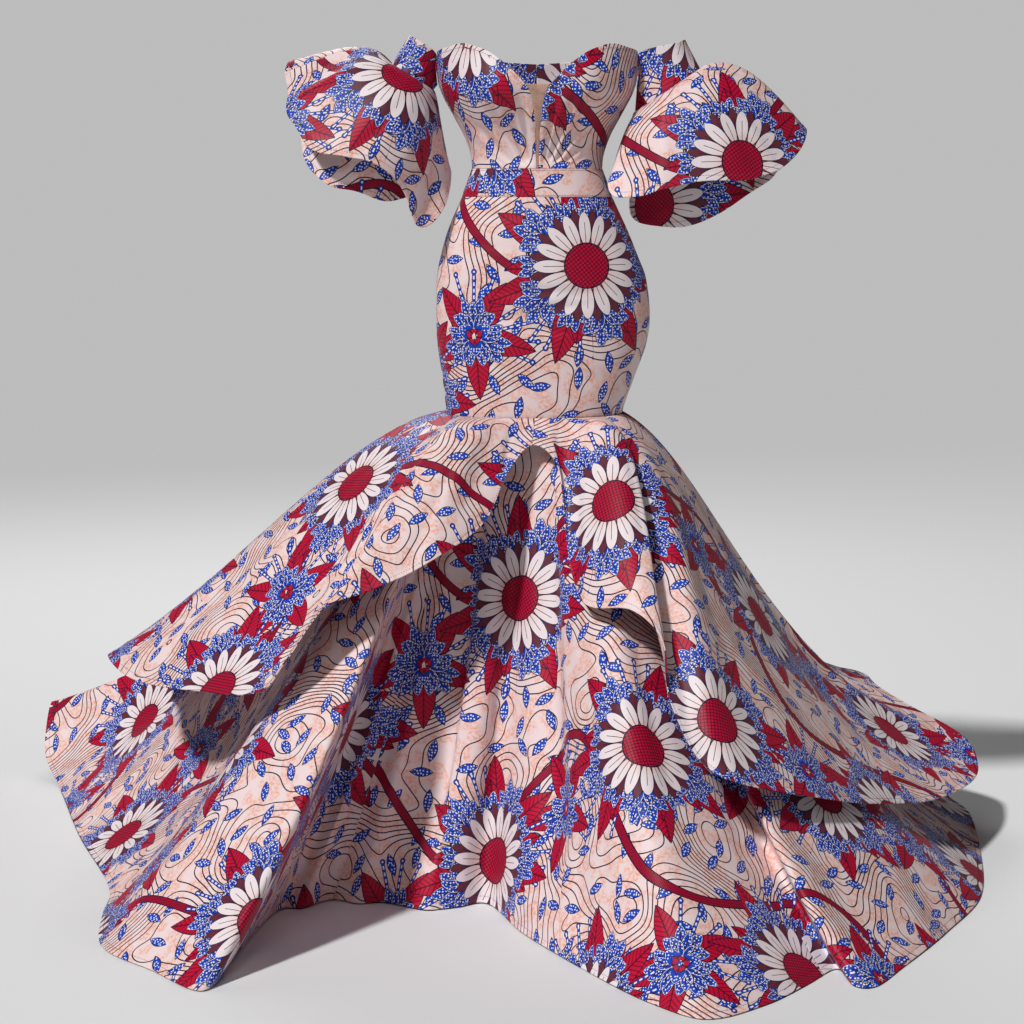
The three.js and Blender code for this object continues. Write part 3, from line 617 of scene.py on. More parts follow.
        layer.data.foreach_set("uv", corner.reshape(-1))
        mesh.validate()
        cloth = added(f"cloth_{self.node}", mesh)
        p, q, r, s = flat[:-1, :-1], flat[1:, :-1], flat[1:, 1:], flat[:-1, 1:]
        cross = (r - p)[..., 0] * (s - q)[..., 1] - (r - p)[..., 1] * (s - q)[..., 0]
        return cloth, cut_size(flat), float(np.abs(cross).sum() / 2)

    def dress(self, finish: "Finish") -> bpy.types.Object:
        """Args:
            finish: the cloth's finish.

        Returns:
            The finished piece.
        """
        cloth, size, area = self.raise_cloth()
        cloth.data.materials.append(finish.material())
        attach(cloth, "gown")
        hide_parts(self.node)
        whole = size[0] * size[1]
        area = min(max(area, LEAST_AREA_SHARE * whole), whole)
        faces = len(cloth.data.polygons)
        LOG.info("%s cut %.2f x %.2f m, %.3f sq m, %d faces", self.node, *size, area, faces)
        return cloth


# Flounces: cloth set on a seam line that falls to a hem of folds

SeamLine = Callable[[np.ndarray], tuple[np.ndarray, np.ndarray]]


def flounce_surface(
    seam: SeamLine, hem: Table, creases: Table | None = None, fine: Table | None = None
) -> Surface:
    """A flounce surface between a seam and a closed hem of folds.

    Args:
        seam: gives points and outward directions at keys.
        hem: rows of folds, keyed by at.
        creases: troughs that run down the fall, deeper as the cloth spreads.
        fine: smaller troughs of the same kind.

    Returns:
        The surface, with v 0 at the hem and 1 at the seam.
    """

    def fall(u: np.ndarray, v: np.ndarray) -> np.ndarray:
        """The smooth fall, before its creases."""
        u, v = np.broadcast_arrays(u, v)
        point, outward = seam(u)
        near, far = 0.2, 0.62  # where along the fall its two handles stand
        foot = np.stack([hem.at(name, u) for name in ("x", "y", "z")], -1)
        chord = foot - point
        length = np.linalg.norm(chord, axis=-1, keepdims=True)
        along = chord / length
        stand = unit(outward - along * (outward * along).sum(-1, keepdims=True))
        upper = point + chord * near + stand * hem.at("crown", u)[..., None] * length
        lower = point + chord * far + stand * hem.at("belly", u)[..., None] * length
        t = (1 - v)[..., None]
        return point * (1 - t) ** 3 + upper * 3 * t * (1 - t) ** 2 + lower * 3 * t * t * (1 - t) + foot * t**3

    def creased_fall(u: np.ndarray, v: np.ndarray) -> np.ndarray:
        """The fall with its creases pressed in along its normals."""
        u, v = np.broadcast_arrays(u, v)
        t = 1 - v
        depth = np.zeros(u.shape)
        for rows in (creases, fine):
            for at, width, deep, start, end in rows.rows if rows else ():
                away = np.mod(np.mod(u - at, 360) + 540, 360) - 180
                fade = smooth((t - start) * 4) * smooth((end - t) * 4)
                depth = depth + deep * t * fade * hump(away, width)
        return fall(u, v) - normal_of(fall, u, v) * depth[..., None]

    return creased_fall if creases or fine else fall


def skirt_seam(rise: float, outset: float) -> SeamLine:
    """The line round the foot of the skirt on which a flounce is set.

    Args:
        rise: how far above the seam it lies.
        outset: how far outside the skirt it lies.

    Returns:
        The seam line.
    """

    def line(bearing: np.ndarray) -> tuple[np.ndarray, np.ndarray]:
        """Points and outward directions at bearings."""
        point = body_point(bearing, SKIRT_SEAM + rise)
        ahead = body_point(bearing + 1, SKIRT_SEAM + rise)
        outward = unit(np.cross(unit(ahead - point), np.array([0.0, 0.0, 1.0])))
        return point + outward * outset, outward

    return line


def back_folds(
    keys: tuple[float, float], spread: tuple[float, float], count: int, reach: tuple[float, float],
    lift: tuple[float, float], depth: float, crown: tuple[float, float], belly: tuple[float, float],
) -> list[tuple[float, ...]]:
    """Plain uneven folds round the hidden back, ridge and valley in turn.

    Args:
        keys: the first and last bearing at the seam.
        spread: the bearings to which the hem has opened.
        count: how many folds there are.
        reach: how far out the hem lies.
        lift: how far above the ground it is.
        depth: how far a fold swings in and out.
        crown: how far the fall stands out near the seam.
        belly: how far it stands out near the hem.

    Returns:
        Hem rows: at, x, y, z, crown and belly.
    """
    rows = []
    for i in range(count + 1):
        share = i / count

        def blend(pair: tuple[float, float]) -> float:
            """The value of a range at this fold."""
            return pair[0] + (pair[1] - pair[0]) * share

        bearing = math.radians(blend(spread))
        swing = depth * (1 + 0.35 * math.sin(2.3 * i))
        out = blend(reach) + (swing if i % 2 else -swing)
        place = (out * math.sin(bearing), -out * math.cos(bearing), FLOOR + blend(lift))
        rows.append((blend(keys), *place, blend(crown), blend(belly)))
    return rows


def hem_table(rows: Sequence[Sequence[float]], behind: Sequence[Sequence[float]] = ()) -> Table:
    """A closed hem from rows of at, x, y, lift, crown and belly, and from the back's folds."""
    front = [(at, x, y, FLOOR + lift, crown, belly) for at, x, y, lift, crown, belly in rows]
    return Table("at x y z crown belly", [*front, *behind], 360)


CREASE_COLUMNS = "at width depth from to"

LOWER_HEM = hem_table([
    (-106, -928, 690, 84, 0.0, -0.13), (-99, -938, 620, 132, 0.0, -0.13), (-93, -944, 580, 44, 0.0, -0.11),
    (-86.5, -894, 457, 3, 0.0, -0.09), (-80, -795, 111, 2, 0.0, -0.09), (-73.5, -697, -180, 2, 0.0, -0.09),
    (-69, -684, -321, 2, 0.0, -0.08), (-65, -657, -484, 2, 0.0, -0.07), (-61, -572, -586, 2, 0.0, -0.06),
    (-56, -478, -680, 2, 0.0, -0.06), (-51, -448, -503, 2, 0.0, -0.06), (-46, -413, -306, 2, 0.0, -0.06),
    (-41, -370, -290, 2, 0.0, -0.04), (-35, -327, -244, 2, 0.0, -0.03), (-30, -286, -266, 2, 0.0, -0.02),
    (-25, -244, -260, 2, 0.0, -0.02), (-18, -178, -300, 2, 0.0, -0.01), (-11, -128, -285, 2, 0.0, 0.0),
    (-4, -79, -268, 2, 0.0, -0.02), (3, -29, -408, 2, 0.0, -0.06), (10, 30, -527, 2, 0.0, -0.08),
    (16, 86, -630, 2, 0.0, -0.1), (22, 152, -732, 2, 0.0, -0.1), (28, 224, -798, 2, 0.0, -0.1),
    (36, 313, -740, 2, 0.0, -0.1), (43, 386, -650, 2, 0.0, -0.1), (49, 434, -586, 2, 0.0, -0.1),
    (54, 448, -660, 2, 0.0, -0.09), (58, 482, -660, 2, 0.0, -0.09), (63, 545, -556, 2, 0.0, -0.08),
    (69, 628, -407, 2, 0.0, -0.06), (76, 713, -225, 2, 0.0, -0.09), (84, 764, 48, 2, 0.0, -0.14),
    (92, 790, 277, 2, 0.0, -0.18),
], back_folds(
    keys=(101, 245), spread=(118, 226), count=14, reach=(910, 1080), lift=(2, 14), depth=34,
    crown=(0.0, 0.02), belly=(-0.2, -0.13),
))

LOWER_CREASES = Table(CREASE_COLUMNS, [
    (-78, 4, 34, 0.3, 1.05), (-64, 6, -16, 0.2, 0.95), (-43, 4, 9, 0.4, 1.0), (-33, 3, 6, 0.4, 0.95),
    (-21, 4, 50, 0.10, 0.98), (-10, 4, -14, 0.2, 0.9), (7, 4.4, 50, 0.13, 0.97), (27, 7, -18, 0.25, 0.95),
    (51, 4, 8, 0.4, 1.0), (80, 4, 16, 0.45, 1.0), (118, 4, 22, 0.3, 1.0), (141, 5, 26, 0.25, 0.95),
    (166, 4, 20, 0.35, 1.0), (189, 5, 28, 0.25, 0.95), (211, 4, 22, 0.35, 1.0), (233, 5, 26, 0.3, 0.95),
])
LOWER_FINE = Table(CREASE_COLUMNS, [
    (-88, 2.2, 6, 0.35, 1.0), (-71, 1.8, 7, 0.3, 1.1), (-55, 2, 5, 0.2, 0.9), (-38, 1.6, 5, 0.2, 1.1),
    (-27, 1.5, 5, 0.25, 1.1), (-15, 1.4, 6, 0.15, 1.1), (-2, 1.6, 5, 0.1, 0.8), (14, 2, 6, 0.3, 1.1),
    (22, 1.8, -5, 0.3, 1.0), (33, 2, 6, 0.2, 0.85), (44, 1.8, 5, 0.35, 1.1), (61, 2, 6, 0.3, 1.1),
    (72, 2, -5, 0.35, 0.95), (89, 2.4, 7, 0.3, 1.1), (101, 2.2, 6, 0.25, 0.9), (129, 2.4, 7, 0.3, 1.1),
    (153, 2.2, 6, 0.2, 0.9), (177, 2.4, 7, 0.3, 1.1), (200, 2.2, 6, 0.2, 0.95), (222, 2.4, 7, 0.3, 1.1),
    (243, 2.2, 6, 0.25, 0.9),
])

UPPER_HEM = hem_table([
    (-109, -738, 330, 308, 0.1, -0.02), (-100, -728, 190, 326, 0.1, -0.02), (-90, -725, 30, 342, 0.11, -0.03),
    (-79, -657, -112, 332, 0.11, -0.02), (-68, -535, -236, 340, 0.12, -0.01),
    (-58, -436, -326, 358, 0.13, 0.01), (-50, -388, -350, 413, 0.15, 0.03),
    (-42, -330, -358, 494, 0.18, 0.04), (-33, -258, -340, 520, 0.22, 0.06),
    (-24, -167, -310, 560, 0.24, 0.06), (-15, -84, -240, 611, 0.2, 0.06), (-8, -52, -190, 676, 0.12, 0.04),
    (0, -9, -152, 723, 0.04, 0.0), (8, 32, -184, 692, 0.08, 0.04), (14, 43, -222, 614, 0.11, 0.04),
    (19, 51, -268, 536, 0.14, 0.05), (25, 73, -332, 496, 0.17, 0.06), (34, 141, -392, 498, 0.2, 0.07),
    (42, 186, -430, 456, 0.18, 0.06), (49, 196, -455, 372, 0.14, 0.05), (56, 240, -510, 292, 0.13, 0.03),
    (64, 300, -520, 262, 0.11, 0.01), (73, 437, -405, 210, 0.08, -0.05), (80, 529, -290, 172, 0.07, -0.08),
    (88, 655, -110, 132, 0.06, -0.14), (95, 752, 80, 112, 0.06, -0.19), (101, 786, 200, 116, 0.06, -0.21),
    (107, 772, 282, 148, 0.06, -0.21),
], back_folds(
    keys=(116, 242), spread=(121, 237), count=12, reach=(780, 822), lift=(206, 300), depth=24,
    crown=(0.05, 0.1), belly=(-0.2, -0.03),
))

UPPER_CREASES = Table(CREASE_COLUMNS, [
    (-84, 5, 14, 0.25, 0.95), (-62, 5, 12, 0.3, 1.0), (-46, 4, 16, 0.2, 0.95), (-19, 4, 12, 0.15, 0.9),
    (31, 5, -8, 0.3, 1.05), (48, 4, 22, 0.2, 0.95), (60, 5, -12, 0.3, 1.0), (78, 6, 12, 0.25, 0.8),
    (93, 4, 16, 0.5, 1.0), (122, 5, 18, 0.2, 0.95), (149, 5, 16, 0.3, 1.0), (175, 4, 20, 0.2, 0.95),
    (204, 5, 16, 0.3, 1.0), (232, 5, 18, 0.25, 0.95),
])
UPPER_FINE = Table(CREASE_COLUMNS, [
    (-96, 2.4, 5, 0.3, 1.1), (-73, 2.2, 5, 0.2, 0.9), (-55, 2, 5, 0.25, 1.1), (-37, 2, 5, 0.15, 0.9),
    (-28, 1.8, 5, 0.3, 1.1), (-10, 1.8, 4, 0.1, 0.9), (10, 1.8, 4, 0.15, 0.9), (21, 1.8, 5, 0.3, 1.1),
    (39, 2, 5, 0.15, 0.85), (54, 2, 6, 0.3, 1.1), (69, 2.2, 6, 0.2, 0.9), (86, 2.4, 6, 0.25, 1.1),
    (101, 2.4, 5, 0.2, 0.9), (112, 2.4, 6, 0.3, 1.1), (136, 2.4, 6, 0.2, 0.95), (162, 2.4, 6, 0.3, 1.1),
    (190, 2.4, 6, 0.2, 0.95), (218, 2.4, 6, 0.3, 1.1), (244, 2.4, 5, 0.2, 0.95),
])


SLEEVE_FINE = Table(CREASE_COLUMNS, [
    (10, 7, 5, 0.2, 1.1), (38, 6, -4, 0.25, 1.1), (70, 7, 6, 0.15, 1.0), (101, 6, 5, 0.25, 1.1),
    (129, 6, -4, 0.2, 1.0), (157, 6, 5, 0.2, 1.1), (205, 7, 5, 0.2, 1.0), (241, 6, 5, 0.25, 1.1),
    (272, 7, -4, 0.2, 1.0), (303, 6, 5, 0.25, 1.1), (334, 6, 4, 0.2, 1.0),
])


# Sleeves

ARMHOLE_BEARINGS = np.array([77.0, 83.0, 90.0, 97.0, 104.0])


@dataclass
class Cuff:
    """The ellipse at the foot of a sleeve band: its middle, its outer end from there, and its half depth."""

    x: float
    y: float
    z: float
    out_x: float
    out_z: float
    depth: float


@dataclass
class Loop:
    """A smooth closed line through points."""

    points: np.ndarray

    def at(self, share: np.ndarray) -> np.ndarray:
        """Points on the line at shares of its round."""
        count = len(self.points)
        place = np.mod(share, 1.0) * count
        first = np.floor(place).astype(int)
        t = (place - first)[..., None]
        p0, p1, p2, p3 = (self.points[(first + k) % count] for k in (-1, 0, 1, 2))

        def gap(a: np.ndarray, b: np.ndarray) -> np.ndarray:
            """The knot spacing between two points."""
            return (np.sum((a - b) ** 2, -1, keepdims=True)) ** 0.25

        d0, d1, d2 = gap(p0, p1), gap(p1, p2), gap(p2, p3)
        m1 = ((p1 - p0) / d0 - (p2 - p0) / (d0 + d1) + (p2 - p1) / d1) * d1
        m2 = ((p2 - p1) / d1 - (p3 - p1) / (d1 + d2) + (p3 - p2) / d2) * d1
        return p1 + m1 * t + (3 * (p2 - p1) - 2 * m1 - m2) * t**2 + (2 * (p1 - p2) + m1 + m2) * t**3


def cuff_line(side: int, cuff: Cuff, rise: float = 0.0, outset: float = 0.0) -> SeamLine:
    """The lower line of a sleeve band, counted from its outer end round the front.

    Args:
        side: 1 on the left, -1 on the right.
        cuff: the ellipse.
        rise: how far up towards the band the line is moved.
        outset: how far outside it is moved.

    Returns:
        The seam line.
    """
    long = np.array([side * cuff.out_x, 0.0, cuff.out_z])
    across = np.array([0.0, -cuff.depth, 0.0])
    axis = unit(np.array([-side * cuff.out_z, 0.0, cuff.out_x]))
    middle = np.array([side * cuff.x, cuff.y, cuff.z])

    def line(degrees: np.ndarray) -> tuple[np.ndarray, np.ndarray]:
        """Points and outward directions at degrees."""
        c, s = np.cos(np.radians(degrees))[..., None], np.sin(np.radians(degrees))[..., None]
        outward = unit(long * c / (long @ long) + across * s / (across @ across))
        return middle + long * c + across * s + outward * outset + axis * rise, outward

    return line


# Nodes written as sums


class Value:
    """A socket in a node tree that can be added, multiplied and compared like a number."""

    def __init__(self, tree: bpy.types.NodeTree, socket: bpy.types.NodeSocket) -> None:
        """Holds one output socket."""
        self.tree, self.socket = tree, socket

    def math(self, operation: str, *others: "Value | float", clamp: bool = False) -> "Value":
        """A maths node on this value and the others."""
        node = self.tree.nodes.new("ShaderNodeMath")
        node.operation, node.use_clamp = operation, clamp
        for socket, value in zip(node.inputs, (self, *others)):
            feed(socket, value)
        return Value(self.tree, node.outputs[0])

    def __add__(self, other: "Value | float") -> "Value":
        """Sum."""
        return self.math("ADD", other)

    def __sub__(self, other: "Value | float") -> "Value":
        """Difference."""
        return self.math("SUBTRACT", other)

    def __mul__(self, other: "Value | float") -> "Value":
        """Product."""
        return self.math("MULTIPLY", other)

    def __truediv__(self, other: "Value | float") -> "Value":
        """Share."""
        return self.math("DIVIDE", other)

    def sin(self) -> "Value":
        """Sine."""
        return self.math("SINE")

    def cos(self) -> "Value":
        """Cosine."""
        return self.math("COSINE")

    def abs(self) -> "Value":
        """Size without sign."""
        return self.math("ABSOLUTE")

    def fract(self) -> "Value":
        """What is left over a whole number."""
        return self.math("FRACT")

    def floor(self) -> "Value":
        """The whole number below."""
        return self.math("FLOOR")

    def power(self, exponent: float) -> "Value":
        """Power."""
        return self.math("POWER", exponent)

    def below(self, limit: "Value | float") -> "Value":
        """1 where this is less than the limit, and 0 elsewhere."""
        return self.math("LESS_THAN", limit)

    def above(self, limit: "Value | float") -> "Value":
        """1 where this is more than the limit, and 0 elsewhere."""
        return self.math("GREATER_THAN", limit)

    def clamped(self) -> "Value":
        """Held between 0 and 1."""
        return self.math("ADD", 0.0, clamp=True)

    def wave(self) -> "Value":
        """How far this is from the nearest whole number, 0 to 0.5."""
        return ((self + 0.5).fract() - 0.5).abs()


def feed(socket: bpy.types.NodeSocket, value: "Value | float | tuple") -> None:
    """Links a value to a socket, or sets it there."""
    if isinstance(value, Value):
        value.tree.links.new(value.socket, socket)
    else:
        socket.default_value = value


def filled(tree: bpy.types.NodeTree, node: bpy.types.Node, values: dict) -> dict[str, Value]:
    """Feeds a node's inputs by name, and gives its outputs by name."""
    for name, value in values.items():
        feed(node.inputs[name], value)
    return {socket.name: Value(tree, socket) for socket in node.outputs}


def tree_of(values: Iterable["Value | float | tuple"]) -> bpy.types.NodeTree:
    """The tree of the first of the values that is a socket."""
    return next(value.tree for value in values if isinstance(value, Value))


def length_of(x: Value, y: Value) -> Value:
    """The distance of a point from the middle."""
    return (x * x + y * y).power(0.5)


@dataclass
class Group:
    """A shader node group under construction.

    Args:
        name: the group's name.
        inputs: socket names and kinds.
        outputs: socket names and kinds.
    """

    name: str
    inputs: dict[str, str]
    outputs: dict[str, str]

    def __post_init__(self) -> None:
        """Makes the tree with its sockets."""
        self.tree = bpy.data.node_groups.new(self.name, "ShaderNodeTree")
        for way, names in (("INPUT", self.inputs), ("OUTPUT", self.outputs)):
            for name, kind in names.items():
                self.tree.interface.new_socket(name=name, in_out=way, socket_type=f"NodeSocket{kind}")
        self.entry = self.tree.nodes.new("NodeGroupInput")
        self.exit = self.tree.nodes.new("NodeGroupOutput")

    def input(self, name: str) -> Value:
        """One of the group's inputs."""
        return Value(self.tree, self.entry.outputs[name])

    def output(self, name: str, value: Value) -> None:
        """Sends a value out."""
        self.tree.links.new(value.socket, self.exit.inputs[name])


def place(group: Group, **values: "Value | float | tuple") -> dict[str, Value]:
    """Places a group in the tree that its values come from.

    Args:
        group: the group.
        **values: its inputs by name.

    Returns:
        Its outputs by name.
    """
    tree = tree_of(values.values())
    node = tree.nodes.new("ShaderNodeGroup")
    node.node_tree = group.tree
    return filled(tree, node, values)


def apart(vector: Value) -> tuple[Value, Value, Value]:
    """The three parts of a vector."""
    node = vector.tree.nodes.new("ShaderNodeSeparateXYZ")
    return tuple(filled(vector.tree, node, {"Vector": vector}).values())


def together(x: Value, y: Value, z: "Value | float" = 0.0) -> Value:
    """A vector from three parts."""
    node = x.tree.nodes.new("ShaderNodeCombineXYZ")
    return filled(x.tree, node, {"X": x, "Y": y, "Z": z})["Vector"]


def painted(under: "Value | tuple", over: "Value | tuple", mask: Value) -> Value:
    """One colour laid over another where a mask is 1."""
    node = mask.tree.nodes.new("ShaderNodeMix")
    node.data_type = "RGBA"
    for slot, value in ((0, mask), (6, under), (7, over)):
        feed(node.inputs[slot], value)
    return Value(mask.tree, node.outputs[2])


def texture(kind: str, settings: dict[str, str], **values: "Value | float") -> dict[str, Value]:
    """A texture node.

    Args:
        kind: the node's kind, such as Noise or Voronoi.
        settings: the node's own settings.
        **values: its inputs by name.

    Returns:
        Its outputs by name.
    """
    tree = tree_of(values.values())
    node = tree.nodes.new(f"ShaderNodeTex{kind}")
    for name, value in settings.items():
        setattr(node, name, value)
    return filled(tree, node, values)


def noise(where: Value, scale: float, detail: float, dimensions: str = "2D") -> Value:
    """Soft noise, 0 to 1."""
    return texture("Noise", {"noise_dimensions": dimensions}, Vector=where, Scale=scale, Detail=detail)["Fac"]


def bumped(shader: bpy.types.Node, height: Value, distance: float, strength: float = 1.0) -> None:
    """Lets a height show in the shader's normals."""
    node = height.tree.nodes.new("ShaderNodeBump")
    values = {"Strength": strength, "Distance": distance, "Height": height}
    feed(shader.inputs["Normal"], filled(height.tree, node, values)["Normal"])


def cut_place(tree: bpy.types.NodeTree) -> Value:
    """A place in the flat cut, in metres."""
    node = tree.nodes.new("ShaderNodeUVMap")
    node.uv_map = "cut"
    return Value(tree, node.outputs[0])


def solid_place(tree: bpy.types.NodeTree) -> Value:
    """A place on the piece itself, in metres."""
    return Value(tree, tree.nodes.new("ShaderNodeTexCoord").outputs["Object"])


# Finishes


THREAD_HEIGHT = 0.00004
FLOW_RISE = 33.0  # lines a metre
FLOW_DRIFT, FLOW_EDDY = 19.0, 3.6  # how many lines the wide drift and the eddies shift them by


def weave_group() -> Group:
    """The threads of a plain woven cloth and its faint cockle, as a height."""
    group = Group("weave", {"Cut": "Vector", "Threads": "Float", "Cockle": "Float"}, {"Height": "Float"})
    cut, threads = group.input("Cut"), group.input("Threads")
    x, y, _ = apart(cut)
    warp = ((x * threads).sin() * (y * threads).sin()) * 0.5
    cockle = noise(cut, 55.0, 2.0)
    group.output("Height", warp * THREAD_HEIGHT + cockle * group.input("Cockle"))
    return group


def lattice_group() -> Group:
    """A half-drop repeat: a place seen from the middle of its own cell."""
    group = Group(
        "half_drop", {"Cut": "Vector", "Width": "Float", "Height": "Float"},
        {"X": "Float", "Y": "Float", "Distance": "Float", "Turn": "Float"},
    )
    x, y, _ = apart(group.input("Cut"))
    width, height = group.input("Width"), group.input("Height")
    column = x / width
    dropped = y / height + column.floor() * 0.5
    px = (column.fract() - 0.5) * width
    py = (dropped.fract() - 0.5) * height
    group.output("X", px)
    group.output("Y", py)
    group.output("Distance", length_of(px, py))
    group.output("Turn", py.math("ARCTAN2", px))
    return group


def ray_group() -> Group:
    """Rays round a middle: the distance along and beside the nearest one."""
    group = Group(
        "rays", {"Distance": "Float", "Turn": "Float", "Count": "Float", "Start": "Float"},
        {"Along": "Float", "Beside": "Float", "Side": "Float"},
    )
    count = group.input("Count")
    share = group.input("Turn") * count / (2 * math.pi) + group.input("Start")
    away = ((share + 0.5).fract() - 0.5) * (2 * math.pi) / count
    side = away.sin() * group.input("Distance")
    group.output("Along", away.cos() * group.input("Distance"))
    group.output("Beside", side.abs())
    group.output("Side", side)
    return group


def flow_group() -> Group:
    """The level of lines that wander over the cloth and close round its eddies."""
    group = Group("flow", {"Cut": "Vector", "East": "Float", "North": "Float"}, {"Level": "Float"})
    x, y, _ = apart(group.input("Cut"))
    x, y = x + group.input("East"), y + group.input("North")
    where = together(x, y)
    drift = noise(where, 5.6, 0.0)
    eddy = noise(where, 13.0, 0.0)
    group.output("Level", y * FLOW_RISE + drift * FLOW_DRIFT + eddy * FLOW_EDDY)
    return group


def blade_group() -> Group:
    """Pointed blades, as leaves or petals: the margin to the edge, and places along and beside the rib."""
    inputs = ("Distance", "Turn", "Count", "Start", "Foot", "Reach", "Breadth", "Blunt")
    outputs = ("Margin", "Share", "Along", "Beside")
    group = Group("blade", dict.fromkeys(inputs, "Float"), dict.fromkeys(outputs, "Float"))
    ray = place(shared("rays", ray_group), **{name: group.input(name) for name in inputs[:4]})
    share = ((ray["Along"] - group.input("Foot")) / group.input("Reach")).clamped()
    taper = (share * -1.0 + 1.0).power(group.input("Blunt"))
    half = share.power(0.6) * taper * group.input("Breadth")
    group.output("Margin", half - ray["Beside"])
    group.output("Share", share)
    for name in ("Along", "Beside"):
        group.output(name, ray[name])
    return group


@dataclass(frozen=True)
class Finish:
    """A finish. Each kind builds its own material once."""

    name: str
    slot: Slot

    def material(self) -> bpy.types.Material:
        """The finish's material, built when it is first needed."""
        known = bpy.data.materials.get(self.name)
        if known:
            return known
        made = bpy.data.materials.new(self.name)
        made.use_nodes = True
        self.paint(made.node_tree, made.node_tree.nodes["Principled BSDF"])
        return made

    def paint(self, tree: bpy.types.NodeTree, shader: bpy.types.Node) -> None:
        """Writes the finish's nodes."""
        raise NotImplementedError


@dataclass(frozen=True)
class PrintedCotton(Finish):
    """Printed cotton with a soft shine: daisies and blossom in a half drop, over ribbons, pods and lines."""

    drop_width: float = 0.35
    drop_height: float = 0.42
    ground: tuple = (0.80, 0.64, 0.635, 1)
    salmon: tuple = (0.80, 0.36, 0.25, 1)
    ink: tuple = (0.010, 0.005, 0.028, 1)
    night: tuple = (0.022, 0.010, 0.055, 1)
    crimson: tuple = (0.48, 0.004, 0.034, 1)
    deep: tuple = (0.10, 0.002, 0.018, 1)
    blue: tuple = (0.004, 0.054, 0.46, 1)
    pale: tuple = (0.78, 0.74, 0.78, 1)
    dusky: tuple = (0.1204, 0.02414, 0.04086, 1)
    petal: tuple = (0.79, 0.69, 0.7075, 1)
    outline: float = 0.0015
    line_half: float = 0.0010
    pod_pitch: float = 0.048
    pod_half_length: float = 0.0195
    pod_half_breadth: float = 0.0078
    ribbon_half: float = 0.0078
    middle_radius: float = 0.0350
    threads: float = 7200.0
    cockle: float = 0.0009

    def paint(self, tree: bpy.types.NodeTree, shader: bpy.types.Node) -> None:
        """Lays the print's layers one over another, from the ground up."""
        cut = cut_place(tree)
        x, y, _ = apart(cut)
        drop = shared("half_drop", lattice_group)
        spot = place(drop, Cut=cut, Width=self.drop_width, Height=self.drop_height)
        aside = together(x + self.drop_width * 0.52, y + self.drop_height * 0.27)
        spray = place(drop, Cut=aside, Width=self.drop_width, Height=self.drop_height)
        specks = texture("Voronoi", {"voronoi_dimensions": "2D"}, Vector=cut, Scale=200.0, Randomness=0.6)
        speckle = specks["Distance"].below(0.26)
        colour = self._ground(cut)
        colour = self._lines(colour, cut)
        colour = self._pods(colour, cut, x, y, speckle)
        colour = self._ribbons(colour, x, y)
        colour = self._spray(colour, spray, speckle)
        colour = self._wreath(colour, spot, speckle)
        colour = self._daisy(colour, spot)
        feed(shader.inputs["Base Color"], colour)
        weave = place(shared("weave", weave_group), Cut=cut, Threads=self.threads, Cockle=self.cockle)
        bumped(shader, weave["Height"], 1.0, 0.55)
        feed(shader.inputs["Roughness"], noise(cut, 18.0, 2.0) * 0.16 + 0.40)
        for name, value in (("Specular IOR Level", 0.2), ("Sheen Weight", 0.03), ("Sheen Roughness", 0.4)):
            shader.inputs[name].default_value = value

    def _ground(self, cut: Value) -> Value:
        """The blush ground with its salmon crackle."""
        patches = noise(cut, 34.0, 1.0)
        grain = noise(cut, 190.0, 1.0)
        edges = {"voronoi_dimensions": "2D", "feature": "DISTANCE_TO_EDGE"}
        crackle = texture("Voronoi", edges, Vector=cut, Scale=230.0)["Distance"]
        veins = ((crackle * -1.0 + 0.16) * 9.0).clamped()
        blotch = ((patches - 0.40) * 6.0).clamped()
        stain = ((grain - 0.38) * 3.2).clamped()
        return painted(self.ground, self.salmon, blotch * (veins * 0.35 + stain * 0.8))

    def _lines(self, under: Value, cut: Value) -> Value:
        """Thin dark lines of an even breadth that wander and close round eddies."""
        step = 0.0015
        flow = shared("flow", flow_group)
        steps = ((0.0, 0.0), (step, 0.0), (0.0, step))
        level, east, north = (place(flow, Cut=cut, East=dx, North=dy)["Level"] for dx, dy in steps)
        steepness = length_of(east - level, north - level) / step
        away = level.wave() / steepness.math("MAXIMUM", 10.0)
        return painted(under, self.ink, away.below(self.line_half))

    def _pods(self, under: Value, cut: Value, x: Value, y: Value, speckle: Value) -> Value:
        """Blue speckled pods scattered at their own turns."""
        flat = {"voronoi_dimensions": "2D", "feature": "F1"}
        cells = texture("Voronoi", flat, Vector=cut, Scale=1 / self.pod_pitch, Randomness=0.6)
        seed, other, _ = apart(cells["Color"])
        px, py, _ = apart(cells["Position"])
        dx, dy = x - px, y - py
        turn = seed * 2.6 - 0.2
        along = dx * turn.cos() + dy * turn.sin()
        beside = (dy * turn.cos() - dx * turn.sin()).abs()
        half = ((along * along) * -(1 / self.pod_half_length**2) + 1.0) * self.pod_half_breadth
        there = other.above(0.15)
        colour = painted(under, self.ink, (half - beside).above(0.0) * there)
        inside = painted(self.blue, self.pale, speckle)
        return painted(colour, inside, (half - beside).above(self.outline) * there)

    def _ribbons(self, under: Value, x: Value, y: Value) -> Value:
        """Crimson ribbons with dark edges and a hatch, in long bows."""
        slope = (x * 11.0 + 0.6).cos() * 1.155
        level = y + (x * 11.0 + 0.6).sin() * 0.105 + (x * 17.0 - 1.0).sin() * 0.012
        steepness = (slope * slope + 1.0).power(0.5)
        away = (level / self.drop_height + 0.27).wave() * self.drop_height / steepness
        hatch = ((x + y) * 260.0).wave().below(0.17).math("MAXIMUM", ((x - y) * 260.0).wave().below(0.17))
        inside = painted(self.crimson, self.deep, hatch)
        colour = painted(under, self.ink, away.below(self.ribbon_half))
        return painted(colour, inside, away.below(self.ribbon_half - 0.0018))

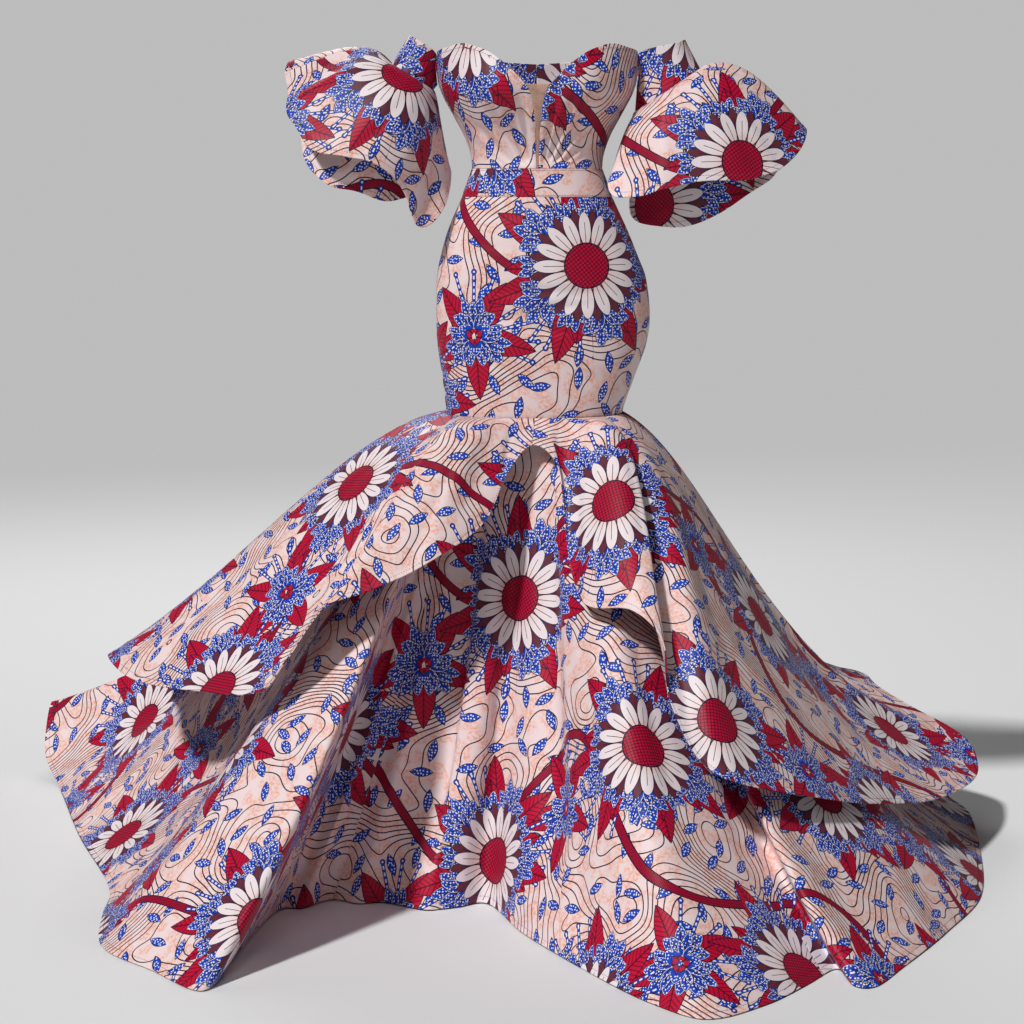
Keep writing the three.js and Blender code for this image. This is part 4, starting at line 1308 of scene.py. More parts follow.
    def _leaf(self, under: Value, blade: dict[str, Value]) -> Value:
        """A ring of crimson leaves with dark veins."""
        veins = ((blade["Along"] - blade["Beside"] * 0.9) * 110.0).wave().below(0.1)
        veins = veins.math("MAXIMUM", blade["Beside"].below(0.0012))
        leaf = painted(self.crimson, self.deep, veins)
        colour = painted(under, self.ink, blade["Margin"].above(0.0))
        return painted(colour, leaf, blade["Margin"].above(self.outline))

    def _stalks(
        self, under: Value, spot: dict[str, Value], count: float, start: float, foot: float,
        tip: float, within: Value,
    ) -> Value:
        """Fans of thin blue stalks with white dashes, each with a round tip."""
        ray = place(
            shared("rays", ray_group), Distance=spot["Distance"], Turn=spot["Turn"], Count=count, Start=start
        )
        along, beside = ray["Along"], ray["Beside"]
        stem = along.above(foot) * along.below(tip) * within
        knob = length_of(along - tip, beside)
        dash = (along * 95.0).wave().below(0.27) * beside.below(0.0013)
        colour = under
        for tint, body, radius in (
            (self.night, beside.below(0.0031), 0.0049), (self.blue, beside.below(0.0021), 0.0036),
            (self.pale, dash, 0.0016),
        ):
            colour = painted(colour, tint, (stem * body).math("MAXIMUM", knob.below(radius) * within))
        return colour

    def _blossoms(
        self, under: Value, spot: dict[str, Value], speckle: Value, count: float,
        start: float, out: float, size: float,
    ) -> Value:
        """Blue blossoms seen from the side, each a fan of pointed petals in three rows with white edges.

        Args:
            under: the colour below.
            spot: the place seen from the middle of its cell.
            speckle: the mask of the white speckles.
            count: how many blossoms stand round the middle.
            start: how far the first is turned, in shares of their spacing.
            out: how far the blossom's foot is from the middle.
            size: how long the longest petals are.

        Returns:
            The colour with the blossoms.
        """
        ray = place(
            shared("rays", ray_group), Distance=spot["Distance"], Turn=spot["Turn"], Count=count, Start=start
        )
        dx, dy = ray["Along"] - out, ray["Side"]
        distance, turn = length_of(dx, dy), dy.math("ARCTAN2", dx)
        colour = under
        rows = ((9.0, 0.5, 1.0, 1.9), (8.0, 0.0, 0.8, 1.5), (7.0, 0.5, 0.54, 1.1))
        for petals, first, reach, spread in rows:
            blade = place(
                shared("blade", blade_group), Distance=distance, Turn=turn, Count=petals, Start=first,
                Foot=0.0, Reach=(turn.abs() * -0.22 + 1.0) * (size * reach), Breadth=size * reach * 0.45,
                Blunt=0.6,
            )
            shown = turn.abs().below(spread)
            rib = blade["Beside"].below(0.0009) * blade["Share"].below(0.8)
            inside = painted(self.blue, self.pale, speckle * blade["Share"].above(0.4))
            inside = painted(inside, self.night, rib)
            for tint, margin in ((self.ink, 0.0), (self.pale, 0.0014), (inside, 0.0021)):
                colour = painted(colour, tint, blade["Margin"].above(margin) * shown)
        return colour

    def _spray(self, under: Value, spot: dict[str, Value], speckle: Value) -> Value:
        """A loose spray between the daisies: red leaves, stalks and two blossoms."""
        leaves = place(
            shared("blade", blade_group), Distance=spot["Distance"], Turn=spot["Turn"], Count=5.0, Start=0.2,
            Foot=0.004, Reach=0.100, Breadth=0.058, Blunt=0.9,
        )
        facing = (spot["Turn"] - 0.7).cos().above(0.2)
        colour = self._stalks(under, spot, 19.0, 0.3, 0.02, 0.104, facing)
        colour = self._leaf(colour, leaves)
        return self._blossoms(colour, spot, speckle, 3.0, 0.23, 0.012, 0.056)

    def _wreath(self, under: Value, spot: dict[str, Value], speckle: Value) -> Value:
        """Leaves, stalks and blossoms that stand out all round a daisy."""
        blade = shared("blade", blade_group)
        wide = place(
            blade, Distance=spot["Distance"], Turn=spot["Turn"], Count=7.0, Start=0.1, Foot=0.05, Reach=0.118,
            Breadth=0.068, Blunt=0.95,
        )
        near = place(
            blade, Distance=spot["Distance"], Turn=spot["Turn"], Count=9.0, Start=0.45, Foot=0.05,
            Reach=0.080, Breadth=0.046, Blunt=0.9,
        )
        fans = (spot["Turn"] * 3.0 + 1.1).sin().above(0.25)
        colour = self._stalks(under, spot, 34.0, 0.0, 0.08, 0.150, fans)
        colour = self._leaf(colour, wide)
        colour = self._leaf(colour, near)
        scallop = (spot["Turn"] * 9.0 + 0.6).sin() * 0.006 + (spot["Turn"] * 16.0).sin() * 0.003
        colour = painted(colour, self.night, spot["Distance"].below(scallop + 0.090))
        colour = self._blossoms(colour, spot, speckle, 5.0, 0.0, 0.078, 0.062)
        return self._blossoms(colour, spot, speckle, 5.0, 0.5, 0.068, 0.048)

    def _daisy(self, under: Value, spot: dict[str, Value]) -> Value:
        """Two rows of petals, the back one dusky, round a crimson middle with a cross hatch."""
        distance, turn = spot["Distance"], spot["Turn"]
        colour = under
        rows = (
            (16.0, 0.5, 0.032, 0.060, 0.019, self.dusky), (16.0, 0.0, 0.031, 0.055, 0.0235, self.petal),
        )
        for count, start, foot, reach, breadth, tint in rows:
            petal = place(
                shared("blade", blade_group), Distance=distance, Turn=turn, Count=count, Start=start,
                Foot=foot, Reach=reach, Breadth=breadth, Blunt=0.5,
            )
            rib = petal["Beside"].below(0.0005) * petal["Share"].below(0.7) * petal["Share"].above(0.1)
            shade = painted(tint, self.salmon, ((petal["Share"] * -1.0 + 0.45) * 0.9).clamped())
            colour = painted(colour, self.ink, petal["Margin"].above(0.0))
            colour = painted(colour, painted(shade, self.night, rib), petal["Margin"].above(0.0011))
        x, y = spot["X"], spot["Y"]
        hatch = ((x * 0.8 + y * 0.6) * 190.0).wave().below(0.14)
        hatch = hatch.math("MAXIMUM", ((y * 0.8 - x * 0.6) * 190.0).wave().below(0.14))
        middle = painted(self.crimson, self.deep, hatch)
        colour = painted(colour, self.ink, distance.below(self.middle_radius + 0.0022))
        return painted(colour, middle, distance.below(self.middle_radius))


@dataclass(frozen=True)
class NudeNet(Finish):
    """Fine even net, open between its threads."""

    thread: tuple = (0.50, 0.27, 0.18, 1)
    pitch: float = 0.0013

    def paint(self, tree: bpy.types.NodeTree, shader: bpy.types.Node) -> None:
        """Leaves the holes clear."""
        cut = cut_place(tree)
        x, y, _ = apart(cut)
        across = ((x + y * 0.6) / self.pitch).wave().below(0.19)
        other = ((x - y * 0.6) / self.pitch).wave().below(0.19)
        level = (y / self.pitch).wave().below(0.14)
        threads = across.math("MAXIMUM", other).math("MAXIMUM", level)
        tint = noise(cut, 60.0, 2.0)
        feed(shader.inputs["Base Color"], painted(self.thread, (0.62, 0.38, 0.28, 1), tint))
        feed(shader.inputs["Alpha"], threads * 0.55 + 0.4)
        feed(shader.inputs["Roughness"], tint * 0.2 + 0.6)
        bumped(shader, threads, 0.0001)


@dataclass(frozen=True)
class Thread(Finish):
    """Twisted sewing thread or coil of a zip."""

    colour: tuple = (0.11, 0.03, 0.06, 1)
    light: tuple = (0.22, 0.08, 0.12, 1)

    def paint(self, tree: bpy.types.NodeTree, shader: bpy.types.Node) -> None:
        """Gives the thread its twist."""
        x, y, z = apart(solid_place(tree))
        twist = ((x + y + z) * 5200.0).sin() * 0.5 + 0.5
        feed(shader.inputs["Base Color"], painted(self.colour, self.light, twist))
        feed(shader.inputs["Roughness"], twist * 0.12 + 0.52)
        bumped(shader, twist, 0.0001)


@dataclass(frozen=True)
class ZipMetal(Finish):
    """Satin zip metal, brushed and a little rubbed."""

    def paint(self, tree: bpy.types.NodeTree, shader: bpy.types.Node) -> None:
        """Brushes the metal."""
        x, y, z = apart(solid_place(tree))
        grain = noise(together(x * 4000.0, y * 400.0, z * 300.0), 1.0, 3.0, "3D")
        rub = noise(together(x, y, z), 220.0, 2.0, "3D")
        feed(shader.inputs["Base Color"], painted((0.42, 0.42, 0.45, 1), (0.62, 0.62, 0.64, 1), rub))
        feed(shader.inputs["Roughness"], grain * 0.25 + 0.22)
        shader.inputs["Metallic"].default_value = 1.0
        bumped(shader, grain, 0.00004)


_GROUPS: dict[str, Group] = {}


def shared(name: str, maker: Callable[[], Group]) -> Group:
    """A shader group, made when it is first asked for."""
    if name not in _GROUPS:
        _GROUPS[name] = maker()
    return _GROUPS[name]


COTTON = PrintedCotton("wax_print_cotton", Slot.PRINT)
NET = NudeNet("nude_net_fine", Slot.NET)
SEWING = Thread("sewing_thread", Slot.PRINT)
COIL = Thread("zip_coil_nylon", Slot.TAPE, (0.02, 0.014, 0.04, 1), (0.05, 0.04, 0.09, 1))
TAPE = Thread("zip_tape_woven", Slot.TAPE, (0.018, 0.012, 0.035, 1), (0.035, 0.026, 0.06, 1))
METAL = ZipMetal("zip_metal_satin", Slot.METAL)


# Stitches and teeth, repeated along lines by geometry nodes


@dataclass(frozen=True)
class Bead:
    """A small piece repeated along a line: its length along it, its width and its height, in metres."""

    pitch: float
    length: float
    width: float
    height: float


def bead_tree(name: str) -> bpy.types.NodeTree:
    """Nodes that set a rounded bead at each step of a curve, turned along it.

    Args:
        name: the tree's name.

    Returns:
        The tree, with inputs Pitch, Length, Width, Height and Finish.
    """
    tree = bpy.data.node_groups.new(name, "GeometryNodeTree")
    face = tree.interface
    face.new_socket(name="Line", in_out="INPUT", socket_type="NodeSocketGeometry")
    for size in ("Pitch", "Length", "Width", "Height"):
        face.new_socket(name=size, in_out="INPUT", socket_type="NodeSocketFloat")
    face.new_socket(name="Finish", in_out="INPUT", socket_type="NodeSocketMaterial")
    face.new_socket(name="Beads", in_out="OUTPUT", socket_type="NodeSocketGeometry")
    add, link = tree.nodes.new, tree.links.new
    entry, leave = add("NodeGroupInput"), add("NodeGroupOutput")
    line, steps = add("GeometryNodeMeshToCurve"), add("GeometryNodeCurveToPoints")
    steps.mode = "LENGTH"
    link(entry.outputs["Line"], line.inputs["Mesh"])
    link(line.outputs["Curve"], steps.inputs["Curve"])
    link(entry.outputs["Pitch"], steps.inputs["Length"])
    bead = add("GeometryNodeMeshUVSphere")
    for size, value in (("Segments", 6), ("Rings", 4), ("Radius", 0.5)):
        bead.inputs[size].default_value = value
    shape = add("ShaderNodeCombineXYZ")
    for socket, size in zip(shape.inputs, ("Height", "Width", "Length")):
        link(entry.outputs[size], socket)
    along = add("FunctionNodeAlignRotationToVector")
    along.axis = "Z"
    link(steps.outputs["Tangent"], along.inputs["Vector"])
    outward = add("FunctionNodeAlignRotationToVector")
    outward.axis, outward.pivot_axis = "X", "Z"
    link(along.outputs[0], outward.inputs["Rotation"])
    facing = add("GeometryNodeInputNamedAttribute")
    facing.data_type = "FLOAT_VECTOR"
    facing.inputs["Name"].default_value = "outward"
    link(facing.outputs[0], outward.inputs["Vector"])
    put = add("GeometryNodeInstanceOnPoints")
    for output, goal in (
        (steps.outputs["Points"], "Points"), (bead.outputs["Mesh"], "Instance"),
        (outward.outputs[0], "Rotation"), (shape.outputs[0], "Scale"),
    ):
        link(output, put.inputs[goal])
    real, dress = add("GeometryNodeRealizeInstances"), add("GeometryNodeSetMaterial")
    link(put.outputs[0], real.inputs[0])
    link(real.outputs[0], dress.inputs["Geometry"])
    link(entry.outputs["Finish"], dress.inputs["Material"])
    link(dress.outputs[0], leave.inputs[0])
    return tree


def beads(
    name: str, lines: Sequence[tuple[np.ndarray, np.ndarray]], bead: Bead, finish: Finish
) -> bpy.types.Object:
    """Repeats a bead along lines and leaves a plain mesh that rides on the gown.

    Args:
        name: the piece's name.
        lines: for each line its points and outward directions, in metres.
        bead: the bead's sizes.
        finish: its finish.

    Returns:
        The piece.
    """
    path = bpy.data.meshes.new(f"{name}_line")
    edges, first = [], 0
    for points, _ in lines:
        edges += [(first + i, first + i + 1) for i in range(len(points) - 1)]
        first += len(points)
    path.from_pydata(np.concatenate([points for points, _ in lines]), edges, [])
    carrier = added(f"{name}_line", path)
    facing = path.attributes.new("outward", "FLOAT_VECTOR", "POINT")
    facing.data.foreach_set("vector", np.concatenate([outward for _, outward in lines]).ravel())
    modifier = carrier.modifiers.new("beads", "NODES")
    modifier.node_group = bpy.data.node_groups.get("beads_along") or bead_tree("beads_along")
    sizes = {
        "Pitch": bead.pitch, "Length": bead.length, "Width": bead.width, "Height": bead.height,
        "Finish": finish.material(),
    }
    for item in modifier.node_group.interface.items_tree:
        if item.in_out == "INPUT" and item.name in sizes:
            modifier[item.identifier] = sizes[item.name]
    carrier.update_tag()
    depsgraph = bpy.context.evaluated_depsgraph_get()
    mesh = bpy.data.meshes.new_from_object(carrier.evaluated_get(depsgraph))
    carrier.modifiers.remove(modifier)
    bpy.data.objects.remove(carrier)
    mesh.polygons.foreach_set("use_smooth", np.ones(len(mesh.polygons), bool))
    if not mesh.materials:
        mesh.materials.append(finish.material())
    piece = added(name, mesh)
    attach(piece, "gown")
    LOG.info("%s: %d faces", name, len(mesh.polygons))
    return piece


STITCH = Bead(0.0044, 0.0030, 0.00075, 0.0006)
TOOTH = Bead(0.0016, 0.0009, 0.0046, 0.0013)


def sewn(
    surface: Surface, across: tuple[float, float], height: float, stand: float = 0.1
) -> tuple[np.ndarray, np.ndarray]:
    """A line of sewing level along a surface.

    Args:
        surface: the surface function.
        across: the span of u.
        height: how far up from the foot it runs, in millimetres, or down from the head where it is negative.
        stand: how far the stitches' middles stand off the surface, in millimetres.

    Returns:
        Points and outward directions, in metres.
    """
    u = np.linspace(*across, 161)
    v = np.linspace(0, 1, 9)
    fall = np.linalg.norm(np.diff(surface(u[:, None], v[None, :]), axis=1), axis=-1).sum(1)
    share = np.abs(height) / fall if height > 0 else 1 - np.abs(height) / fall
    normal = normal_of(surface, u, share)
    points = surface(u, share) + normal * stand
    points[:, 2] = np.maximum(points[:, 2], FLOOR + STITCH_GROUND_GAP)
    return points * MM, normal


# Sub-assemblies


@dataclass
class Bodice:
    """The fitted bodice: two gathered fronts with cups, a net insert between them, and two backs."""

    pitch: float = 4.2
    net_pitch: float = 3.5
    height_guess: float = 150.0
    hem_stitch: float = -7.0
    lays: dict[str, Lay] = field(default_factory=lambda: {
        "right": Lay(0.19, 0.06, 8), "left": Lay(-0.02, 0.30, -14),
    })

    def surface(self, edge_at: Callable[[np.ndarray, np.ndarray], np.ndarray]) -> Surface:
        """A bodice surface whose edges may lean, with v 0 at the waist and 1 at the top edge."""

        def point(u: np.ndarray, v: np.ndarray) -> np.ndarray:
            """Points at u and v."""
            u, v = paired(u, v)
            z = self.height_guess * v
            for _ in range(4):
                bearing = edge_at(u, z)
                z = GAP / 2 + v * (neckline_at(bearing) - GAP / 2)
            return body_point(bearing, z)

        return point

    def front(self, side: int) -> Surface:
        """The front on one side, from the insert to the side seam."""

        def edge(u: np.ndarray, z: np.ndarray) -> np.ndarray:
            """The bearing at u and a height."""
            inner = insert_bearing(z)
            return side * (inner + (90 - inner) * (u if side > 0 else 1 - u))

        return self.surface(edge)

    def back(self, side: int) -> Surface:
        """The back on one side, from the side seam to the middle."""
        start = 90 if side > 0 else 180
        return self.surface(lambda u, z: start + 90 * u + 0 * z)

    def net(self) -> Surface:
        """The insert, as far as the fronts' edges."""
        edge = self.surface(lambda u, z: insert_bearing(z) + 0 * u)

        def point(u: np.ndarray, v: np.ndarray) -> np.ndarray:
            """Points at u and v."""
            u, v = paired(u, v)
            z = edge(0 * v, v)[..., 2]
            return body_point((2 * u - 1) * insert_bearing(z), z)

        return point

    def dress(self) -> None:
        """Builds the pieces and their sewing."""
        lines = []
        for name, side in (("right", -1), ("left", 1)):
            for part, surface in (("front", self.front(side)), ("back", self.back(side))):
                carrier = "waistband_front" if part == "front" else f"waistband_back_{name}"
                Panel(
                    f"bodice_{part}_{name}", surface, (0.0, 1.0), self.lays[name], Hold.STRETCHED, (carrier,),
                    self.pitch, f"bodice_front_{name}" if part == "back" else "", edged=True,
                ).dress(COTTON)
                lines.append(sewn(surface, (0.01, 0.99), self.hem_stitch))
        Panel(
            "bodice_net_insert", self.net(), (0.0, 1.0), hold=Hold.STRETCHED,
            rests_on=("bodice_front_left", "bodice_front_right"), pitch=self.net_pitch, thickness=0.5,
            proud=-0.5,
        ).dress(NET)
        beads("neckline_stitches", lines, STITCH, SEWING)


def band(low: float, high: float) -> Surface:
    """A level band of the fitted body between two heights."""
    return lambda u, v: body_point(u, low + (high - low) * np.asarray(v, float))


@dataclass
class Hips:
    """The waistband and the fitted skirt, each with one front and two backs."""

    pitch: float = 6.0
    spans: tuple = (("front", -90.0, 90.0), ("back_left", 90.0, 180.0), ("back_right", 180.0, 270.0))
    skirt_lay: Lay = Lay(0.10, 0.14, 0)
    band_lay: Lay = Lay(0.27, 0.115, 0)

    def dress(self) -> None:
        """Builds the pieces and the stitches along the waistband."""
        waist = band(-WAISTBAND_DEPTH + GAP / 2, -GAP / 2)
        skirt = band(SKIRT_SEAM + GAP / 2, -WAISTBAND_DEPTH - GAP / 2)
        lines = []
        for name, start, end in self.spans:
            Panel(
                f"waistband_{name}", waist, (start, end), self.band_lay, Hold.STRETCHED, (f"skirt_{name}",),
                self.pitch, "" if name == "front" else "waistband_front", thickness=CLOTH + 0.5, proud=0.35,
            ).dress(COTTON)
            Panel(
                f"skirt_{name}", skirt, (start, end), self.skirt_lay, Hold.STRETCHED, (f"waistband_{name}",),
                self.pitch, "" if name == "front" else "skirt_front", proud=-0.2,
            ).dress(COTTON)
            lines += [sewn(waist, (start + 0.5, end - 0.5), height, 0.5) for height in (2.5, -2.5)]
        beads("waistband_stitches", lines, STITCH, SEWING)


@dataclass
class SkirtFlounces:
    """The two flounces set on the foot of the skirt."""

    lower_pitch: float = 11.0
    upper_pitch: float = 10.0
    hem_stitch: float = 9.0
    lower: tuple = (
        ("front", -35, 10, ""), ("front_left", 10, 46, "front"), ("side_left", 46, 101, "front_left"),
        ("back_left", 101, 142, "side_left"), ("train_left", 142, 180, "back_left"),
        ("front_right", -69, -35, "front"), ("side_right", -106, -69, "front_right"),
        ("back_right", 214, 254, "side_right"), ("train_right", 180, 214, "back_right"),
    )
    upper: tuple = (
        ("front_left", 0, 49, ""), ("side_left", 49, 107, "front_left"), ("back_left", 107, 180, "side_left"),
        ("front_right", -42, 0, ""), ("side_right", -109, -42, "front_right"),
        ("back_right", 180, 251, "side_right"),
    )
    lays: dict[str, Lay] = field(default_factory=lambda: {
        "lower_front": Lay(0.12, 0.13, 0), "upper_front_left": Lay(0.12, 0.25, 8),
        "upper_front_right": Lay(0.02, 0.3, -20),
    })

    def dress(self) -> None:
        """Builds both tiers and their hem stitches."""
        lower = flounce_surface(skirt_seam(-GAP / 2, 0.0), LOWER_HEM, LOWER_CREASES, LOWER_FINE)
        upper = flounce_surface(skirt_seam(TIER_RISE, WALL + GAP), UPPER_HEM, UPPER_CREASES, UPPER_FINE)
        for tier, surface, panels, pitch in (
            ("lower", lower, self.lower, self.lower_pitch), ("upper", upper, self.upper, self.upper_pitch),
        ):
            lines = []
            for name, start, end, beside in panels:
                carrier = "skirt_front" if -90 < (start + end) / 2 < 90 else "skirt_back_left"
                carrier = "skirt_back_right" if start >= 180 or end < -90 else carrier
                lay = self.lays.get(f"{tier}_{name}", Lay())
                Panel(
                    f"{tier}_flounce_{name}", surface, (start, end), lay, Hold.HUNG, (carrier,), pitch,
                    f"{tier}_flounce_{beside}" if beside else "", hemmed=True,
                ).dress(COTTON)
                lines.append(sewn(surface, (start + 0.3, end - 0.3), self.hem_stitch))
            beads(f"{tier}_flounce_hem_stitches", lines, STITCH, SEWING)


@dataclass
class Sleeve:
    """An off-the-shoulder sleeve: a band with two flounces on its lower edge.

    Args:
        name: right or left.
        side: -1 on the right, 1 on the left.
        crest: the points of the band's top line over its outside.
        cuff: the ellipse at the band's foot.
        upper: the upper flounce's hem rows.
        lower: the lower flounce's hem rows.
        lays: where the band and the front of each flounce are cut.
    """

    name: str
    side: int
    crest: tuple
    cuff: Cuff
    upper: tuple
    lower: tuple
    lays: dict[str, Lay]
    pitch: float = 6.5
    band_pitch: float = 5.0
    hem_stitch: float = 8.0

    def band(self) -> Surface:
        """The band, from the cuff to its top line."""
        armhole = body_point(ARMHOLE_BEARINGS, neckline_at(ARMHOLE_BEARINGS) - 2.0)
        armhole[:, 0] += WALL + GAP * 2
        points = np.concatenate([np.array(self.crest, float), armhole])
        points[:, 0] *= self.side
        top = Loop(points)
        foot = cuff_line(self.side, self.cuff)
        peak = 1 / len(points)

        def point(u: np.ndarray, v: np.ndarray) -> np.ndarray:
            """Points at u and v."""
            u, v = paired(u, v)
            low = foot(u)[0]
            return low + (top.at(2 + peak + u / 360) - low) * v[..., None]

        return point

    def tier(self, rows: tuple, rise: float, outset: float) -> Surface:
        """One flounce of the sleeve."""
        hem = Table("at x y z crown belly", rows, 360)
        return flounce_surface(cuff_line(self.side, self.cuff, rise, outset), hem, SLEEVE_FINE)

    def dress(self) -> None:
        """Builds the band, the flounces and their hem stitches."""
        turn = -1 if self.side > 0 else 1

        def wound(surface: Surface) -> Surface:
            """The same surface with u always to the left side seen from outside."""
            return lambda u, v: surface(turn * np.asarray(u, float), v)

        name = f"sleeve_{self.name}"
        Panel(
            f"{name}_band", wound(self.band()), (0.0, 360.0), self.lays["band"], Hold.STRETCHED,
            (f"bodice_front_{self.name}",), self.band_pitch, ring=True, edged=True,
        ).dress(COTTON)
        halves = (("front", 0, 180), ("back", 180, 360))
        if self.side > 0:
            halves = tuple((half, -end, -start) for half, start, end in halves)
        lines = []
        for tier, rows, rise, outset in (
            ("upper", self.upper, TIER_RISE, WALL + GAP), ("lower", self.lower, -2 * GAP, 0.0),
        ):
            surface = wound(self.tier(rows, rise, outset))
            for half, start, end in halves:
                beside = f"{name}_{tier}_front" if half == "back" else ""
                Panel(
                    f"{name}_{tier}_{half}", surface, (start, end), self.lays[tier], Hold.HUNG,
                    (f"{name}_band",), self.pitch, beside, hemmed=True,
                ).dress(COTTON)
                lines.append(sewn(surface, (start + 1, end - 1), self.hem_stitch))
        beads(f"{name}_hem_stitches", lines, STITCH, SEWING)


RIGHT_SLEEVE = Sleeve(
    "right", -1, ((200, 32, 208), (208, 0, 214), (194, -36, 206)), Cuff(203, 0, 147, 34, 21, 50),
    ((0, -410, -4, 156, 0.3, 0.1), (22, -402, -42, 124, 0.26, 0.06), (46, -400, -86, 88, 0.24, 0.05),
     (62, -386, -102, 68, 0.24, 0.05), (78, -358, -125, 30, 0.24, 0.06), (96, -306, -142, 20, 0.26, 0.08),
     (112, -268, -142, 12, 0.26, 0.08), (126, -234, -128, -8, 0.22, 0.08), (138, -212, -108, -38, 0.18, 0.06),
     (150, -194, -94, -88, 0.14, 0.04), (162, -170, -76, -88, 0.1, 0.02), (176, -146, -50, -52, 0.05, 0.0),
     (192, -141, -2, -2, 0.02, -0.02), (212, -168, 50, -26, 0.1, 0.02), (236, -226, 94, -6, 0.16, 0.06),
     (262, -290, 112, 8, 0.2, 0.08), (288, -350, 108, 46, 0.22, 0.08), (314, -394, 84, 104, 0.24, 0.1),
     (338, -403, 36, 172, 0.3, 0.12)),
    ((0, -372, 0, 110, 0.06, 0.02), (30, -380, -46, 70, 0.06, 0.02), (56, -372, -80, 12, 0.08, 0.02),
     (80, -334, -98, -26, 0.1, 0.04), (102, -290, -94, -36, 0.1, 0.04), (124, -246, -72, -52, 0.08, 0.02),
     (146, -212, -54, -46, 0.04, 0.0), (170, -172, -26, -34, 0.02, 0.0), (192, -166, 6, -22, 0.02, 0.0),
     (216, -196, 40, -42, 0.04, 0.0), (244, -246, 64, -50, 0.08, 0.02), (274, -306, 72, -30, 0.08, 0.02),
     (304, -348, 56, 18, 0.08, 0.02), (334, -378, 28, 74, 0.06, 0.02)),
    {"band": Lay(0.3, 0.3), "upper": Lay(0.16, 0.16, -20), "lower": Lay(0.3, 0.1, -10)},
)

LEFT_SLEEVE = Sleeve(
    "left", 1, ((230, 34, 200), (240, 0, 207), (222, -38, 200)), Cuff(212, 0, 126, 53, 35, 52),
    ((0, 440, 4, 64, 0.3, 0.12), (20, 426, -40, 32, 0.28, 0.12), (38, 392, -90, 2, 0.26, 0.12),
     (54, 362, -106, -10, 0.26, 0.12), (70, 329, -122, -18, 0.26, 0.12), (88, 256, -136, -20, 0.26, 0.12),
     (104, 193, -136, -34, 0.24, 0.1), (118, 162, -126, -43, 0.22, 0.08), (132, 122, -108, -44, 0.18, 0.04),
     (146, 112, -90, -24, 0.12, 0.02), (162, 124, -58, -10, 0.06, 0.0), (182, 138, 0, -16, 0.02, -0.02),
     (206, 158, 52, -44, 0.1, 0.02), (232, 212, 92, -34, 0.16, 0.06), (260, 276, 112, -22, 0.2, 0.1),
     (288, 344, 104, -2, 0.22, 0.12), (314, 402, 76, 24, 0.26, 0.12), (338, 434, 40, 50, 0.28, 0.12)),
    ((0, 396, 10, 6, 0.12, 0.04), (26, 380, -34, -16, 0.12, 0.04), (52, 340, -70, -40, 0.12, 0.04),
     (76, 290, -88, -72, 0.12, 0.04), (98, 240, -84, -92, 0.1, 0.02), (120, 196, -70, -92, 0.06, 0.0),
     (146, 160, -44, -84, 0.02, 0.0), (172, 150, -10, -60, 0.0, 0.0), (196, 160, 24, -66, 0.02, 0.0),
     (222, 196, 52, -88, 0.04, 0.0), (250, 246, 72, -84, 0.08, 0.02), (280, 306, 74, -56, 0.1, 0.02),
     (308, 352, 56, -26, 0.12, 0.04), (336, 386, 32, 0, 0.12, 0.04)),
    {"band": Lay(0.05, 0.12), "upper": Lay(0.08, 0.3, 16), "lower": Lay(0.25, 0.3, 10)},
)


@dataclass
class Zip:
    """The centre-back zip: tape and coil, with the slider and the pull at its top."""

    half: float = 0.5
    stand: float = GAP + 1.2
    thickness: float = 1.2

    def dress(self) -> None:
        """Gives the solids their finishes and sets the teeth on the tape."""
        z = np.linspace(ZIP_END + 2, ZIP_TOP - 14, 90)
        middle = body_point(np.full(z.shape, 180.0), z)
        middle[:, 1] += self.stand + self.thickness + 0.05
        outward = np.tile([0.0, 1.0, 0.0], (len(z), 1))
        beads("zip_teeth", [(middle * MM, outward)], TOOTH, COIL)
        for node, finish in (("zip_coil", TAPE), ("zip_slider", METAL), ("zip_pull", METAL)):
            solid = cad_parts[node]
            solid.data.materials.clear()
            solid.data.materials.append(finish.material())


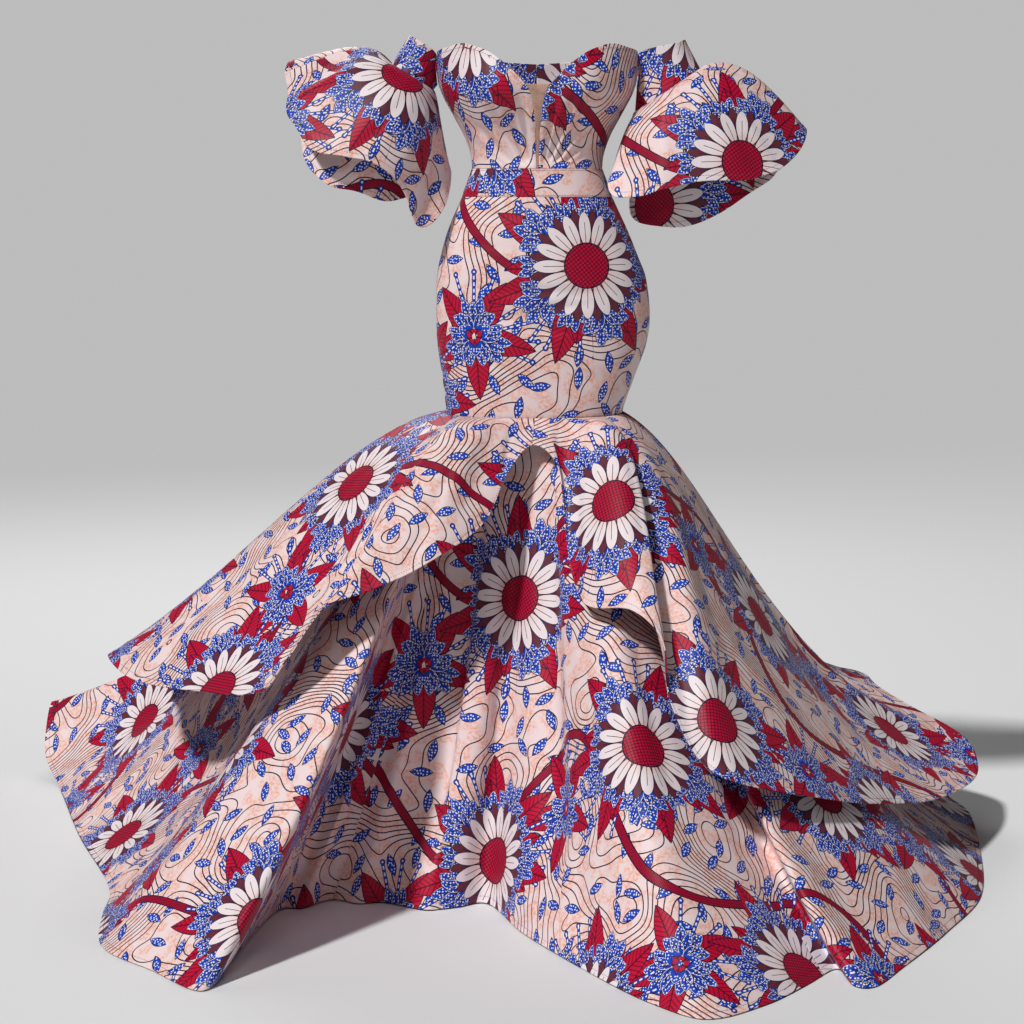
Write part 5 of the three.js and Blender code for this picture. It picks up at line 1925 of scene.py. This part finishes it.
@dataclass
class Studio:
    """A pale floor, soft light and the camera at the photo's angle."""

    eye: tuple = (-0.041, -4.0, -0.007)
    drop: float = 339 / 2424
    sensor: float = 36
    lens: float = 36 * 2424 / 1024
    reach: float = 9.0
    floor_gap: float = 0.0005
    floor_tone: float = 0.78
    aim: tuple = (0.0, 0.0, -0.5)
    lamps: tuple = (
        ("front", (-0.5, -2.9, 1.5), 1.0, 9), ("side", (3.2, -1.0, 0.9), 1.8, 4),
        ("rear", (-1.0, 3.2, 2.0), 2.0, 45),
    )
    sun_strength: float = 2.95
    sun_turn: tuple = (43, 0, -40)
    room_light: float = 0.02
    backdrop: float = 0.505

    def floor(self) -> None:
        """Lays the floor just under the hem."""
        mesh = bpy.data.meshes.new("studio_floor")
        sides = ((-1, -1), (1, -1), (1, 1), (-1, 1))
        corners = [(x * self.reach, y * self.reach, FLOOR * MM - self.floor_gap) for x, y in sides]
        mesh.from_pydata(corners, [], [(0, 1, 2, 3)])
        ground = added("studio_floor", mesh)
        paint = bpy.data.materials.new("studio_floor")
        paint.use_nodes = True
        shader = paint.node_tree.nodes["Principled BSDF"]
        shader.inputs["Base Color"].default_value = (*[self.floor_tone] * 3, 1)
        shader.inputs["Roughness"].default_value = 0.7
        mesh.materials.append(paint)

    def light(self, name: str, at: tuple, size: float, power: float) -> None:
        """Sets a soft square lamp that faces the gown."""
        lamp = bpy.data.lights.new(name, "AREA")
        lamp.shape, lamp.size, lamp.energy = "SQUARE", size, power
        carrier = added(name, lamp)
        carrier.location = at
        x, y, z = np.array(self.aim) - np.array(at)
        carrier.rotation_euler = (math.atan2(math.hypot(x, y), -z), 0.0, math.atan2(y, x) - math.pi / 2)

    def sun(self) -> None:
        """Sets the key light, high in front and to the gown's right, with soft shadows."""
        lamp = bpy.data.lights.new("key", "SUN")
        lamp.energy, lamp.angle = self.sun_strength, math.radians(5)
        added("key", lamp).rotation_euler = [math.radians(angle) for angle in self.sun_turn]

    def world(self) -> None:
        """Gives the room a dim even light, and what the camera sees behind the gown the far floor's tone."""
        world = bpy.data.worlds.new("studio")
        bpy.context.scene.world = world
        world.use_nodes = True
        tree = world.node_tree
        dim, seen = tree.nodes["Background"], tree.nodes.new("ShaderNodeBackground")
        path, mix = tree.nodes.new("ShaderNodeLightPath"), tree.nodes.new("ShaderNodeMixShader")
        for background, strength in ((dim, self.room_light), (seen, self.backdrop)):
            background.inputs["Color"].default_value = (1.0, 1.0, 1.0, 1)
            background.inputs["Strength"].default_value = strength
        for output, socket in (
            (path.outputs["Is Camera Ray"], mix.inputs[0]), (dim.outputs[0], mix.inputs[1]),
            (seen.outputs[0], mix.inputs[2]), (mix.outputs[0], tree.nodes["World Output"].inputs[0]),
        ):
            tree.links.new(output, socket)

    def build(self) -> None:
        """Makes the floor, the world, the lamps and the camera."""
        self.floor()
        self.world()
        bpy.context.scene.view_settings.view_transform = "Standard"
        self.sun()
        for lamp in self.lamps:
            self.light(*lamp)
        lens = bpy.data.cameras.new("camera")
        lens.lens, lens.sensor_width = self.lens, self.sensor
        camera = added("camera", lens)
        camera.location = self.eye
        camera.rotation_euler = (math.pi / 2 - math.atan(self.drop), 0, 0)
        bpy.context.scene.camera = camera


def main() -> None:
    """Builds the gown's classes in order."""
    logging.basicConfig(level=logging.INFO, format="%(message)s")
    Studio().build()
    for assembly in (Bodice(), Hips(), SkirtFlounces(), RIGHT_SLEEVE, LEFT_SLEEVE, Zip()):
        assembly.dress()
        LOG.info("dressed %s", type(assembly).__name__)


if __name__ == "__main__":
    main()
